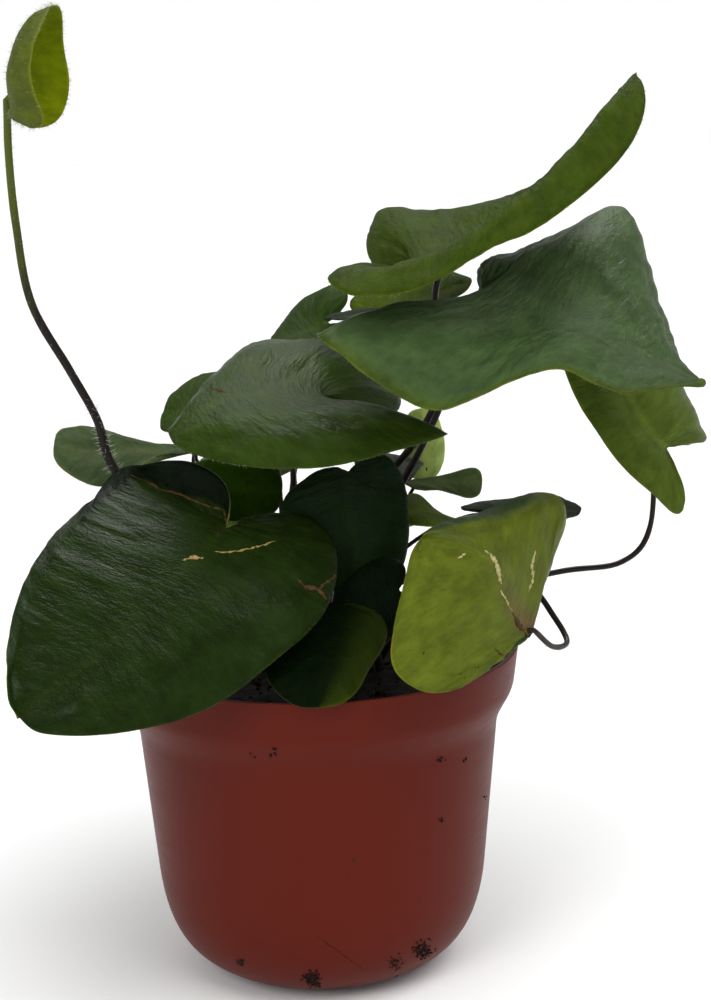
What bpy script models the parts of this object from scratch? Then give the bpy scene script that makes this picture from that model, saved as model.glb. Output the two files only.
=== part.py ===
"""A heart fern in a round nursery pot.

The frame: +Z up, the origin at the centre of the pot's base, -Y toward the viewer of the
reference photograph. Sizes in this file are millimetres until a mesh is made, which is in metres.
The scale comes from the pot: a standard nursery pot, 90 mm across the collar.
"""
import math

import bmesh
import bpy
import numpy as np
from mathutils import Matrix, Vector, noise

MM = 0.001
GAP = 0.35

# Pot: a turned wall with a wide collar, a chamfer under it and a rounded foot.
POT_STEPS = 40
POT_WALL = 1.1
COLLAR_TOP = (45.0, 73.0)
COLLAR_FOOT = (43.8, 63.8)
CHAMFER_FOOT = (40.2, 57.3)
FOOT_RADIUS = 35.1
FOOT_ROUND = 14.8
FOOT_ARC_STEPS = 4
LIP_EXTRA = 0.5
LIP_HEIGHT = 1.5
LIP_ROUND = 0.4
DRAIN_COUNT = 6
DRAIN_RING = 15.0
DRAIN_RADIUS = 3.0

# Peat: fills the pot to a few millimetres under the collar's top.
SOIL_TOP = 66.0
SOIL_RINGS = (0.86, 0.66, 0.48, 0.3)
SOIL_ROUGH = 1.3
SOIL_LUMP = 0.006
STIPE_DEPTH = 4.0
HOLE_CLEARANCE = 0.35
HOLE_SIDES = 8
HOLE_TOP = 72.0

# Crown: the short rhizome that the stipes stand around.
CROWN_CENTRE = (0.0, 2.0)
CROWN_RADIUS = 3.2
CROWN_BOTTOM = 60.0
CROWN_TOP = 71.0

# Blades: one thickness, and how finely a blade is divided along its margin and across a half.
BLADE_THICKNESS = 0.8
LARGE_GRID = (16, 3)
SMALL_GRID = (10, 2)
# The margin's share that ends at the hub, before the inner ends move out along the midrib.
HUB_SHARE = 0.36
# Where a crest or crease runs, as a share of the way from midrib to margin.
CREST_AT = 2 / 3

# A stipe's points are joined by a smooth curve, cut into stretches of about this length.
STIPE_STRETCH = 8.0
STIPE_TAPER = 0.72
STIPE_UPRIGHT = 5.0
# The end sits this far ahead of the hub and this far under the blade's face.
SEAT_AHEAD = 1.8
SEAT_GAP = 0.5

# The flat outline of half a heart: shares of the length (ahead of the hub) or of the lobe
# (behind it), and of the half width.
HALF_HEART = (
    (0.0, 0.0), (-0.50, 0.10), (-0.92, 0.30), (-0.98, 0.62), (-0.55, 0.92),
    (0.10, 1.0), (0.42, 0.84), (0.72, 0.50), (0.92, 0.17), (1.0, 0.0))

# Drawn fronds: the midrib from hub to tip, and each margin from hub to tip, as points that a
# smooth curve goes through; bulge is how far each half arches up, as a share of its width. A half
# that is bent along a crest or crease has that line too.
LARGE_FRONDS = {
    "young": dict(
        midrib=(
            (-59, -14, 191), (-59, -14, 195), (-58, -14, 201), (-55, -14, 208),
            (-49, -14, 212)),
        left=(
            (-56, -19, 188), (-53, -24, 187), (-50, -26, 188), (-52, -27, 193),
            (-53, -27, 198), (-52, -25, 204), (-50, -20, 209)),
        right=(
            (-57, -9, 188), (-55, -4, 187), (-51, -2, 188), (-49, -1, 192), (-48, -1, 197),
            (-49, -3, 204), (-48, -8, 210)),
        bulge=(-0.14, -0.14)),
    "front": dict(
        midrib=(
            (-18, -24, 105), (-26, -31, 98), (-36, -38, 90), (-49, -46, 80), (-59, -52, 74)),
        left=(
            (-13, -20, 106), (-6, -15, 106), (1, -15, 104), (5, -24, 98), (2, -38, 90),
            (-6, -48, 85), (-21, -52, 75), (-39, -54, 71), (-54, -53, 71)),
        right=(
            (-17, -22, 110), (-19, -19, 115), (-27, -15, 118), (-37, -9, 116), (-43, -5, 114),
            (-46, -12, 110), (-53, -18, 105), (-59, -31, 97), (-61, -42, 89), (-61, -50, 79)),
        right_crest=(
            (-18, -21, 108), (-23, -18, 110), (-28, -14, 110), (-33, -11, 112), (-38, -9, 113),
            (-46, -16, 109), (-52, -25, 103), (-57, -35, 94), (-60, -46, 82)),
        bulge=(0.06, 0.0)),
    "middle": dict(
        midrib=(
            (-3, -9, 129), (-11, -12, 130), (-18, -15, 130), (-25, -19, 128), (-30, -22, 124)),
        left=(
            (8, -5, 126), (19, -8, 123), (28, -12, 122), (30, -15, 122), (25, -18, 121),
            (19, -21, 120), (12, -25, 119), (4, -28, 118), (-6, -29, 118), (-16, -28, 119),
            (-25, -24, 121)),
        right=(
            (8, 0, 124), (18, 8, 122), (21, 16, 125), (16, 22, 131), (7, 25, 137),
            (-5, 25, 138), (-13, 19, 138), (-21, 6, 133), (-27, -10, 127)),
        bulge=(0.1, 0.1)),
    "top": dict(
        midrib=(
            (27, 4, 155), (38, 6, 159), (50, 8, 167), (62, 9, 179), (73, 11, 196)),
        left=(
            (20, 10, 154), (15, 20, 155), (14, 27, 160), (16, 33, 165), (19, 37, 167),
            (27, 38, 166), (36, 38, 166), (43, 37, 167), (50, 34, 168), (58, 29, 173),
            (66, 22, 183), (72, 16, 192)),
        right=(
            (18, -3, 154), (8, -13, 156), (4, -23, 156), (8, -30, 153), (17, -31, 153),
            (26, -30, 155), (36, -27, 161), (45, -25, 164), (54, -20, 169), (64, -12, 176),
            (70, -5, 182), (74, 3, 190)),
        right_crest=(
            (18, -5, 156), (10, -14, 158), (9, -22, 158), (14, -25, 158), (22, -25, 160),
            (28, -24, 162), (35, -23, 166), (41, -21, 170), (47, -18, 174), (53, -14, 179),
            (61, -7, 187), (68, 2, 193)),
        bulge=(0.1, 0.0)),
    "right": dict(
        midrib=(
            (38, -2, 148), (48, -5, 145), (60, -9, 142), (72, -12, 136), (84, -14, 131)),
        left=(
            (38, 4, 150), (38, 10, 153), (41, 18, 156), (51, 26, 157), (62, 30, 161),
            (72, 28, 167), (76, 20, 159), (78, 12, 148), (80, 0, 137), (82, -8, 132)),
        right=(
            (30, -3, 147), (20, -10, 142), (10, -18, 142), (1, -28, 146), (6, -34, 142),
            (15, -38, 135), (25, -38, 130), (36, -36, 134), (50, -33, 138), (61, -31, 132),
            (74, -24, 132)),
        bulge=(0.1, 0.08)),
    "dark": dict(
        midrib=(
            (8, -9, 113), (8, -11, 104), (9, -12, 97), (10, -13, 91), (12, -13, 85)),
        left=(
            (12, -8, 117), (16, -7, 117), (20, -7, 111), (21, -8, 102), (20, -10, 94),
            (17, -12, 88)),
        right=(
            (6, -9, 115), (1, -9, 114), (-3, -9, 111), (-7, -10, 107), (-6, -11, 99),
            (-2, -12, 93), (5, -13, 87)),
        bulge=(0.08, 0.08)),
    "lip": dict(
        midrib=(
            (6, -26, 88), (4, -34, 83), (2, -43, 78), (0, -49, 73)),
        left=(
            (9, -24, 88), (13, -24, 86), (15, -29, 83), (13, -35, 80), (10, -41, 78),
            (8, -46, 75), (4, -49, 74)),
        right=(
            (3, -24, 88), (-2, -25, 88), (-8, -33, 85), (-11, -42, 81), (-9, -47, 77),
            (-5, -49, 74)),
        bulge=(0.08, 0.08)),
    "turned": dict(
        midrib=(
            (45, -27, 81), (42, -31, 85), (39, -35, 93), (35, -39, 100), (30, -41, 104),
            (22, -40, 106)),
        left=(
            (47, -22, 84), (49, -17, 89), (52, -14, 95), (54, -12, 100), (55, -11, 104),
            (53, -11, 107), (49, -12, 108), (44, -16, 108), (38, -20, 107), (32, -25, 106),
            (26, -31, 106)),
        left_crest=(
            (46, -24, 85), (48, -21, 90), (50, -18, 96), (52, -16, 102), (52, -15, 105),
            (49, -18, 107), (45, -22, 106), (40, -26, 105), (34, -31, 105), (28, -35, 105)),
        right=(
            (43, -30, 81), (39, -36, 80), (32, -44, 77), (27, -49, 76), (22, -51, 76),
            (17, -53, 79), (14, -52, 83), (15, -49, 87), (16, -46, 92), (18, -43, 97),
            (19, -41, 102)),
        bulge=(0.0, -0.05)),
    "hanging": dict(
        midrib=(
            (80, 12, 113), (77, 13, 116), (73, 15, 123), (68, 17, 132), (65, 19, 142)),
        left=(
            (82, 10, 109), (84, 7, 103), (83, 5, 98), (81, 4, 98), (77, 4, 103), (70, 5, 109),
            (65, 7, 116), (60, 9, 124), (57, 11, 132), (57, 14, 139)),
        right=(
            (82, 14, 113), (88, 20, 112), (93, 24, 112), (91, 27, 116), (89, 29, 122),
            (84, 31, 130), (75, 28, 138)),
        bulge=(0.1, 0.1)),
    "left": dict(
        midrib=(
            (-24, 11, 115), (-34, 10, 115), (-40, 9, 116), (-48, 6, 116), (-57, 4, 119)),
        left=(
            (-27, 7, 116), (-34, 7, 115), (-38, 5, 114), (-42, 3, 110), (-46, 2, 109),
            (-51, 1, 111), (-56, 2, 115)),
        right=(
            (-25, 15, 116), (-34, 14, 116), (-39, 13, 117), (-44, 12, 120), (-50, 10, 122),
            (-55, 8, 122)),
        bulge=(0.05, 0.05)),
    "olive": dict(
        midrib=((-26, -2, 111), (-20, -1, 109), (-13, 1, 108), (-6, 3, 107)),
        left=(
            (-28, -1, 114), (-25, 0, 115), (-20, 2, 115), (-13, 4, 114), (-7, 4, 111)),
        right=(
            (-27, -4, 108), (-23, -5, 104), (-18, -4, 100), (-13, -1, 100), (-8, 1, 103)),
        bulge=(0.06, 0.06)),
    "spoon": dict(
        midrib=((22, 29, 103), (29, 28, 103), (35, 28, 103), (41, 28, 103)),
        left=(
            (23, 31, 104), (28, 30, 104), (32, 30, 104), (35, 30, 106), (38, 30, 107), (40, 30, 105)),
        right=(
            (23, 26, 102), (28, 26, 102), (32, 26, 102), (34, 26, 100), (37, 26, 99), (40, 27, 101)),
        bulge=(0.05, 0.05)),
    "pale": dict(
        midrib=((28, 44, 101), (28, 43, 107), (28, 43, 113), (27, 45, 119)),
        left=(
            (25, 44, 100), (23, 45, 103), (23, 45, 109), (23, 46, 115), (25, 46, 118)),
        right=(
            (30, 44, 100), (32, 45, 103), (33, 46, 108), (32, 47, 114), (30, 46, 118)),
        bulge=(0.08, 0.08)),
}

# Fronds bent from a flat heart: the hub's place, the way the blade points (heading, rise and roll in
# degrees), the flat heart's sizes, and how it bends (degrees): arch along the midrib, sway in the
# blade's own plane, twist about the midrib, fold of the halves at the midrib, curl across each half.
SMALL_FRONDS = {
    "bright": dict(
        hub=(18, 41, 142), heading=335, rise=15, roll=25,
        length=25, half_width=17, lobe=11, arch=5,
        sway=0, twist=0, fold=10, curl=-15),
    "nook": dict(
        hub=(15, 16, 144), heading=210, rise=0, roll=-5,
        length=13, half_width=9, lobe=7, arch=0,
        sway=0, twist=5, fold=10, curl=-25),
    "shoulder": dict(
        hub=(3, 50, 138), heading=200, rise=-15, roll=-25,
        length=13, half_width=15, lobe=12, arch=-5,
        sway=-5, twist=25, fold=10, curl=-40),
    "peeping": dict(
        hub=(-25, 36, 122), heading=185, rise=-15, roll=-20,
        length=12, half_width=15, lobe=10, arch=-25,
        sway=-10, twist=0, fold=15, curl=-30),
    "gap": dict(
        hub=(17, -20, 89), heading=190, rise=-20, roll=-60,
        length=16, half_width=9, lobe=5, arch=0,
        sway=0, twist=0, fold=10, curl=-30),
    "yellow": dict(
        hub=(31, 7, 99), heading=200, rise=25, roll=0,
        length=14, half_width=12, lobe=4, arch=-35,
        sway=-5, twist=-30, fold=0, curl=10),
    "tucked": dict(
        hub=(15, 23, 106), heading=25, rise=10, roll=20,
        length=13, half_width=10, lobe=3, arch=0,
        sway=5, twist=-15, fold=10, curl=5),
    "slate": dict(
        hub=(44, 24, 96), heading=345, rise=5, roll=5,
        length=20, half_width=14, lobe=11, arch=-5,
        sway=-5, twist=5, fold=15, curl=-35),
    "rear_a": dict(
        hub=(-8, 36, 112), heading=110, rise=-20, roll=0,
        length=34, half_width=19, lobe=12, arch=-30,
        sway=5, twist=0, fold=20, curl=-50),
    "rear_b": dict(
        hub=(0, 68, 113), heading=90, rise=-10, roll=0,
        length=30, half_width=17, lobe=11, arch=-35,
        sway=-5, twist=10, fold=20, curl=-50),
    "rear_c": dict(
        hub=(-34, 26, 96), heading=155, rise=-15, roll=5,
        length=24, half_width=15, lobe=9, arch=-25,
        sway=10, twist=0, fold=20, curl=-45),
    "rear_d": dict(
        hub=(14, 40, 92), heading=90, rise=-15, roll=0,
        length=30, half_width=14, lobe=9, arch=-30,
        sway=0, twist=-10, fold=20, curl=-50),
    "rear_e": dict(
        hub=(38, 42, 88), heading=55, rise=-20, roll=0,
        length=18, half_width=10, lobe=7, arch=-20,
        sway=5, twist=0, fold=20, curl=-40),
}

# Stipes: the radius at the foot, the foot's place in the peat, and the bends on the way to the
# blade, chosen so that each stipe clears the blades and stipes around it.
STIPES = {
    "young": (0.9, (-10, -1), (
        (-13, 0, 73), (-31, -4, 99), (-43, -1, 114), (-46, -2, 125), (-51, -4, 136),
        (-58, -7, 151), (-60, -9, 168), (-61, -10, 182))),
    "front": (0.8, (-5, -6), ((-7, -9, 81), (-14, -17, 95))),
    "middle": (0.8, (-2, -9), ((-3, -7, 80), (-4, -4, 100), (-4, -5, 116))),
    "top": (1.0, (14, -1), (
        (10, 8, 94), (15, 13, 105), (24, 10, 117), (29, 6, 130), (28, 4, 148))),
    "right": (0.9, (6, -1), (
        (6, 4, 76), (15, 12, 96), (25, 7, 116), (30, 3, 128), (35, 0, 142))),
    "lip": (0.8, (2, -7), ((2, -11, 73), (3, -20, 76), (4, -27, 81))),
    "turned": (0.8, (9, -4), (
        (19, -4, 80), (38, -5, 87), (47, -6, 86), (52, -10, 80), (54, -16, 76), (50, -23, 77))),
    "hanging": (0.8, (14, 4), (
        (20, 4, 74), (38, 4, 83), (56, 7, 86), (70, 10, 87), (77, 13, 94))),
    "bright": (0.8, (2, 8), ((8, 14, 94), (20, 36, 131))),
    "nook": (0.6, (9, 9), ((13, 15, 77), (13, 33, 109), (16, 31, 125))),
    "shoulder": (0.8, (-1, 11), ((-3, 17, 88), (-4, 28, 115), (1, 40, 128))),
    "peeping": (0.6, (-7, 11), ((-10, 12, 75), (-26, 26, 105), (-27, 31, 113))),
    "left": (0.6, (-10, 6), ((-16, 8, 93), (-22, 11, 106))),
    "olive": (0.8, (-12, 2), ((-15, 3, 91), (-21, 4, 104))),
    "dark": (0.8, (6, -6), ((7, -5, 80), (8, -6, 97))),
    "gap": (0.6, (5, -10), ((8, -13, 73), (12, -18, 79))),
    "spoon": (0.6, (9, 13), ((10, 14, 75), (14, 18, 87), (20, 26, 96))),
    "yellow": (0.6, (10, 0), ((10, 0, 78), (18, 3, 91))),
    "pale": (0.6, (6, 15), ((4, 22, 88), (8, 28, 98), (20, 46, 101))),
    "tucked": (0.6, (6, 11), ((7, 15, 84), (10, 20, 98))),
    "slate": (0.6, (13, 8), ((18, 10, 75), (26, 11, 84), (36, 17, 89))),
    "rear_a": (0.8, (-5, 15), ((-6, 22, 85), (-7, 27, 95))),
    "rear_b": (0.8, (-1, 16), ((-4, 21, 74), (-5, 55, 97))),
    "rear_c": (0.6, (-6, 7), ((-13, 11, 79), (-31, 23, 92))),
    "rear_d": (0.8, (2, 13), ((3, 21, 75), (9, 33, 86))),
    "rear_e": (0.6, (6, 7), ((10, 10, 75), (20, 20, 81))),
}

BLADE_COLOURS = {
    "front": (0.045, 0.10, 0.025), "dark": (0.02, 0.055, 0.022), "gap": (0.02, 0.05, 0.02),
    "nook": (0.03, 0.08, 0.03), "olive": (0.05, 0.09, 0.015), "young": (0.26, 0.38, 0.05),
    "turned": (0.24, 0.32, 0.07), "bright": (0.30, 0.42, 0.04), "pale": (0.33, 0.44, 0.10),
    "yellow": (0.18, 0.24, 0.02), "hanging": (0.20, 0.30, 0.06)}
BLADE_GREEN = (0.10, 0.19, 0.055)
STIPE_COLOUR = (0.03, 0.022, 0.018)
YOUNG_STIPE_COLOUR = (0.20, 0.24, 0.07)
POT_COLOUR = (0.36, 0.13, 0.085)
SOIL_COLOUR = (0.025, 0.018, 0.014)


def smooth_curve(points, per_span=8):
    """A Catmull-Rom curve through the points, as an array of samples."""
    points = np.asarray(points, float)
    ends = np.vstack([2 * points[0] - points[1], points, 2 * points[-1] - points[-2]])
    spans = len(points) - 1
    at = np.linspace(0, spans, spans * per_span + 1)
    index = np.minimum(at.astype(int), spans - 1)
    s = (at - index)[:, None]
    a, b, c, d = ends[index], ends[index + 1], ends[index + 2], ends[index + 3]
    cubic = 2 * b + (c - a) * s + (2 * a - 5 * b + 4 * c - d) * s**2 + (3 * b - a - 3 * c + d) * s**3
    return cubic / 2


def resample(samples, shares):
    """Points on a sampled curve at the given shares of its length."""
    steps = np.linalg.norm(np.diff(samples, axis=0), axis=1)
    length = np.concatenate([[0.0], np.cumsum(steps)])
    return np.stack([np.interp(shares * length[-1], length, axis) for axis in samples.T], axis=1)


def heart_lines(hub, heading, rise, roll, length, half_width, lobe, arch, sway, twist, fold, curl):
    """Midrib and both margins of a bent heart, as sampled curves from hub to tip."""
    arch, sway, twist, fold, curl = np.radians([arch, sway, twist, fold, curl])
    yaw, pitch, bank = np.radians([heading, rise, roll])
    margin = smooth_curve([(x * (lobe if x < 0 else length), y * half_width) for x, y in HALF_HEART])
    midrib = np.stack([np.linspace(0, length, len(margin)), np.zeros(len(margin))], axis=1)

    def bent(line, side):
        along, across = line[:, 0] / length, line[:, 1]
        ahead = np.maximum(along, 0)
        bow = arch * ahead / 2
        chord = line[:, 0] * np.sinc(bow / np.pi)
        swung = line[:, 0] * np.sin(sway * along / 2)
        spine = np.stack([chord * np.cos(bow), swung, chord * np.sin(bow)], axis=1)
        level = np.zeros(len(line))
        tangent = np.stack([np.cos(2 * bow), level, np.sin(2 * bow)], axis=1)
        normal = np.stack([-tangent[:, 2], level, tangent[:, 0]], axis=1)
        swing = (sway * along)[:, None]
        flat_side = np.array([0, 1, 0]) * np.cos(swing) - tangent * np.sin(swing)
        turn = (twist * along)[:, None]
        sideways = flat_side * np.cos(turn) + normal * np.sin(turn)
        upward = normal * np.cos(turn) - flat_side * np.sin(turn)
        half_turn = curl * across / (2 * half_width)
        reach = across * np.sinc(half_turn / np.pi)
        out = (side * reach * np.cos(fold + half_turn))[:, None]
        up = (reach * np.sin(fold + half_turn))[:, None]
        return spine + sideways * out + upward * up

    turn_to = Matrix.Rotation(yaw, 3, "Z") @ Matrix.Rotation(-pitch, 3, "Y") @ Matrix.Rotation(bank, 3, "X")
    lines = (bent(midrib, 1), bent(margin, 1), bent(margin, -1))
    return [line @ np.array(turn_to).T + np.array(hub) for line in lines]


def frond_lines(name):
    """Midrib, left margin and right margin of a frond as sampled curves, with its two bulges."""
    if name in LARGE_FRONDS:
        frond = LARGE_FRONDS[name]
        hub, tip = frond["midrib"][0], frond["midrib"][-1]
        margins = [smooth_curve((hub, *frond[side], tip)) for side in ("left", "right")]
        return smooth_curve(frond["midrib"]), *margins, frond["bulge"]
    frond = SMALL_FRONDS[name]
    bulge = -math.radians(frond["curl"]) / 8
    return *heart_lines(**frond), (bulge, bulge)


def crest_line(name, side):
    """The crest or crease that a drawn half is bent along, from hub to tip, or None."""
    frond = LARGE_FRONDS.get(name, {})
    points = frond.get("left_crest" if side > 0 else "right_crest")
    if points is None:
        return None
    return smooth_curve((frond["midrib"][0], *points, frond["midrib"][-1]))


def blade_surface(name, margin_steps, half_steps):
    """Grid of points S(t, w): t runs along the margins from hub to tip, w from -1 on the right
    margin over 0 on the midrib to 1 on the left margin. S = I + (E - I)|w| + n b 4|w|(1 - |w|) sin(pi t),
    with E on the margin, I on the midrib, n the half's mean normal and b its bulge. A half with a
    crest is drawn to it: all the way where |w| is CREST_AT, less and less towards midrib and margin."""
    midrib, left, right, bulges = frond_lines(name)
    t = np.linspace(0, 1, margin_steps + 1)
    inner = resample(midrib, np.clip((t - HUB_SHARE) / (1 - HUB_SHARE), 0, 1) ** 1.1)
    halves = []
    for margin, bulge, side in ((right, bulges[1], -1), (left, bulges[0], 1)):
        edge = resample(margin, t)
        normal = np.cross(np.gradient(edge, axis=0), edge - inner).sum(axis=0) * side
        normal /= np.linalg.norm(normal)
        width = np.linalg.norm(edge - inner, axis=1).max()
        w = np.linspace(0, 1, half_steps + 1)[None, :, None]
        rise = bulge * width * 4 * w * (1 - w) * np.sin(np.pi * t)[:, None, None]
        half = inner[:, None] * (1 - w) + edge[:, None] * w + normal * rise
        crest = crest_line(name, side)
        if crest is not None:
            straight = inner * (1 - CREST_AT) + edge * CREST_AT
            lift = np.minimum(w / CREST_AT, (1 - w) / (1 - CREST_AT))
            half += (resample(crest, t) - straight)[:, None] * lift
        halves.append(half)
    return np.concatenate([halves[0][:, :0:-1], halves[1]], axis=1)


def material(name, colour, roughness):
    """A Principled material with the given base colour."""
    made = bpy.data.materials.new(name)
    made.use_nodes = True
    shader = made.node_tree.nodes["Principled BSDF"]
    shader.inputs["Base Color"].default_value = (*colour, 1.0)
    shader.inputs["Roughness"].default_value = roughness
    shader.inputs["Metallic"].default_value = 0.0
    return made


def add_object(name, data, colour, roughness, collection):
    """Link a new object with its own material."""
    made = bpy.data.objects.new(name, data)
    made.data.materials.append(material(name + "_finish", colour, roughness))
    collection.objects.link(made)
    return made


def mesh_from(bm, name):
    """Turn a bmesh in millimetres into a mesh in metres."""
    bmesh.ops.scale(bm, vec=(MM, MM, MM), verts=bm.verts)
    mesh = bpy.data.meshes.new(name)
    bm.to_mesh(mesh)
    bm.free()
    return mesh


def add_blade(name, collection):
    """A blade: a grid bent to the frond's surface, split into triangles, then given its thickness."""
    margin_steps, half_steps = LARGE_GRID if name in LARGE_FRONDS else SMALL_GRID
    surface = blade_surface(name, margin_steps, half_steps)
    bm = bmesh.new()
    bmesh.ops.create_grid(bm, x_segments=margin_steps, y_segments=2 * half_steps, size=1.0)
    for vert in bm.verts:
        row = round((vert.co.x + 1) / 2 * margin_steps)
        column = round((vert.co.y + 1) / 2 * 2 * half_steps)
        vert.co = Vector(surface[row, column])
    bmesh.ops.remove_doubles(bm, verts=bm.verts, dist=0.05)
    bmesh.ops.triangulate(bm, faces=bm.faces)
    colour = BLADE_COLOURS.get(name, BLADE_GREEN)
    blade = add_object("blade_" + name, mesh_from(bm, name), colour, 0.45, collection)
    thickness = blade.modifiers.new("thickness", "SOLIDIFY")
    thickness.thickness = BLADE_THICKNESS * MM
    thickness.offset = 0.0
    return blade


def stipe_top(name, last_bend, radius):
    """Where a stipe's end meets the blade: under the hub, a hair's gap below the blade's face."""
    midrib, left, right, _ = frond_lines(name)
    hub = midrib[0]
    ahead = midrib[len(midrib) // 8] - hub
    ahead /= np.linalg.norm(ahead)
    across = left[len(left) // 8] - right[len(right) // 8]
    normal = np.cross(ahead, across)
    normal /= np.linalg.norm(normal)
    under = hub + ahead * SEAT_AHEAD
    arrival = under - last_bend
    arrival /= np.linalg.norm(arrival)
    slant = math.sqrt(max(0.0, 1.0 - (arrival @ normal) ** 2))
    return under - normal * (BLADE_THICKNESS / 2 + SEAT_GAP + radius * slant)


def stipe_path(name):
    """Points of a stipe: straight up out of the peat, then a smooth curve to the hub."""
    radius, place, bends = STIPES[name]
    foot = np.array([*place, SOIL_TOP - STIPE_DEPTH])
    neck = foot + np.array([0, 0, STIPE_UPRIGHT])
    top = stipe_top(name, np.array(bends[-1], float), radius * STIPE_TAPER)
    samples = smooth_curve((foot, neck, *bends, top))[8:]
    length = np.linalg.norm(np.diff(samples, axis=0), axis=1).sum()
    stretches = max(4, round(length / STIPE_STRETCH))
    return np.vstack([foot, resample(samples, np.linspace(0, 1, stretches + 1))])


def add_stipe(name, collection):
    """A stipe: a round tapering tube with closed ends."""
    path = stipe_path(name)
    curve = bpy.data.curves.new("stipe_" + name, "CURVE")
    curve.dimensions = "3D"
    curve.bevel_depth = STIPES[name][0] * MM
    curve.bevel_resolution = 2
    curve.use_fill_caps = True
    spline = curve.splines.new("POLY")
    spline.points.add(len(path) - 1)
    for index, (point, place) in enumerate(zip(spline.points, path)):
        point.co = (*(place * MM), 1.0)
        point.radius = 1.0 + (STIPE_TAPER - 1.0) * index / (len(path) - 1)
    colour = YOUNG_STIPE_COLOUR if name == "young" else STIPE_COLOUR
    return add_object("stipe_" + name, curve, colour, 0.55, collection)


def wall_line(height, inset):
    """Radius of the straight body wall at a height, moved in by inset."""
    slope = (CHAMFER_FOOT[0] - FOOT_RADIUS) / CHAMFER_FOOT[1]
    return FOOT_RADIUS + slope * height - inset * math.hypot(1, slope)


def wall_profile(inset, top):
    """The pot's outside, from the axis at the base up to the height top, moved in by inset."""
    tilt = math.atan2(CHAMFER_FOOT[0] - FOOT_RADIUS, CHAMFER_FOOT[1])
    turn = FOOT_ROUND - inset
    centre = (wall_line(FOOT_ROUND, FOOT_ROUND), FOOT_ROUND)
    angles = np.linspace(-math.pi / 2, -tilt, FOOT_ARC_STEPS + 1)
    arc = [(centre[0] + turn * math.cos(a), centre[1] + turn * math.sin(a)) for a in angles]
    corners = [(x - inset, z + 0.4 * inset) for x, z in (CHAMFER_FOOT, COLLAR_FOOT)]
    slope = (COLLAR_TOP[0] - COLLAR_FOOT[0]) / (COLLAR_TOP[1] - COLLAR_FOOT[1])
    end = (COLLAR_FOOT[0] - inset + slope * (top - COLLAR_FOOT[1]), top)
    return [(0.0, inset), *arc, *corners, end]


def turned(name, profile, colour, roughness, collection):
    """A solid turned about Z from a profile that runs down its outer side."""
    mesh = bpy.data.meshes.new(name)
    points = [(x * MM, 0.0, z * MM) for x, z in profile]
    mesh.from_pydata(points, [(i, i + 1) for i in range(len(points) - 1)], [])
    made = add_object(name, mesh, colour, roughness, collection)
    screw = made.modifiers.new("turn", "SCREW")
    screw.steps = POT_STEPS
    screw.render_steps = POT_STEPS
    screw.use_smooth_shade = True
    screw.use_merge_vertices = True
    screw.merge_threshold = 0.00001
    return made


def cut(target, cutter, name):
    """Subtract the cutter from the target."""
    boolean = target.modifiers.new(name, "BOOLEAN")
    boolean.operation = "DIFFERENCE"
    boolean.object = cutter
    boolean.solver = "EXACT"


def rods(name, places, cutters):
    """One cutter of upright rods, each given as (x, y, radius, bottom, top)."""
    bm = bmesh.new()
    for x, y, radius, bottom, top in places:
        rod = bmesh.ops.create_cone(
            bm, cap_ends=True, segments=HOLE_SIDES, radius1=radius, radius2=radius, depth=top - bottom)
        bmesh.ops.translate(bm, verts=rod["verts"], vec=(x, y, (bottom + top) / 2))
    made = bpy.data.objects.new(name, mesh_from(bm, name))
    made.hide_render = True
    made.display_type = "WIRE"
    cutters.objects.link(made)
    return made


def add_pot(collection, cutters):
    """The pot: wall, rounded foot, collar, a lip a little thicker than the wall, drainage holes."""
    outside = wall_profile(0.0, COLLAR_TOP[1])
    inside = wall_profile(POT_WALL, COLLAR_TOP[1] - LIP_HEIGHT)
    lip_inside = (COLLAR_TOP[0] - POT_WALL - LIP_EXTRA, COLLAR_TOP[1] - LIP_ROUND)
    lip_crest = (COLLAR_TOP[0] - LIP_ROUND, COLLAR_TOP[1])
    outside[-1] = (COLLAR_TOP[0], COLLAR_TOP[1] - LIP_ROUND)
    pot = turned("pot", [*inside, lip_inside, lip_crest, *outside[::-1]], POT_COLOUR, 0.45, collection)
    turns = [2 * math.pi * i / DRAIN_COUNT for i in range(DRAIN_COUNT)]
    drains = [
        (DRAIN_RING * math.cos(a), DRAIN_RING * math.sin(a), DRAIN_RADIUS, -POT_WALL, 2 * POT_WALL)
        for a in turns]
    cut(pot, rods("drain_cutter", drains, cutters), "drains")
    return pot


def add_soil(collection, cutters):
    """Peat: a plug that follows the pot's inside, with a crumbly top and a hole for each stipe."""
    side = wall_profile(POT_WALL + GAP, SOIL_TOP)
    top_radius = side[-1][0]
    top = [(0.0, SOIL_TOP), *((share * top_radius, SOIL_TOP) for share in reversed(SOIL_RINGS))]
    soil = turned("soil", top + side[::-1], SOIL_COLOUR, 0.95, collection)
    mesh = bpy.data.meshes.new_from_object(soil.evaluated_get(bpy.context.evaluated_depsgraph_get()))
    soil.modifiers.clear()
    soil.data = mesh
    for vert in mesh.vertices:
        reach = math.hypot(vert.co.x, vert.co.y) / (top_radius * MM)
        on_top = vert.co.z > (SOIL_TOP - GAP) * MM
        if on_top and SOIL_RINGS[-2] - 0.01 < reach < SOIL_RINGS[0] + 0.01:
            vert.co.z += SOIL_ROUGH * MM * noise.noise(vert.co / SOIL_LUMP)
    bottom = SOIL_TOP - STIPE_DEPTH - GAP
    holes = [(*foot, hole_radius(radius), bottom, HOLE_TOP) for radius, foot, _ in STIPES.values()]
    holes.append((*CROWN_CENTRE, hole_radius(CROWN_RADIUS), CROWN_BOTTOM - GAP, HOLE_TOP))
    cut(soil, rods("hole_cutter", holes, cutters), "holes")
    return soil


def hole_radius(radius):
    """Corner radius of a hole whose flats clear a round piece."""
    return (radius + HOLE_CLEARANCE) / math.cos(math.pi / HOLE_SIDES)


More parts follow.
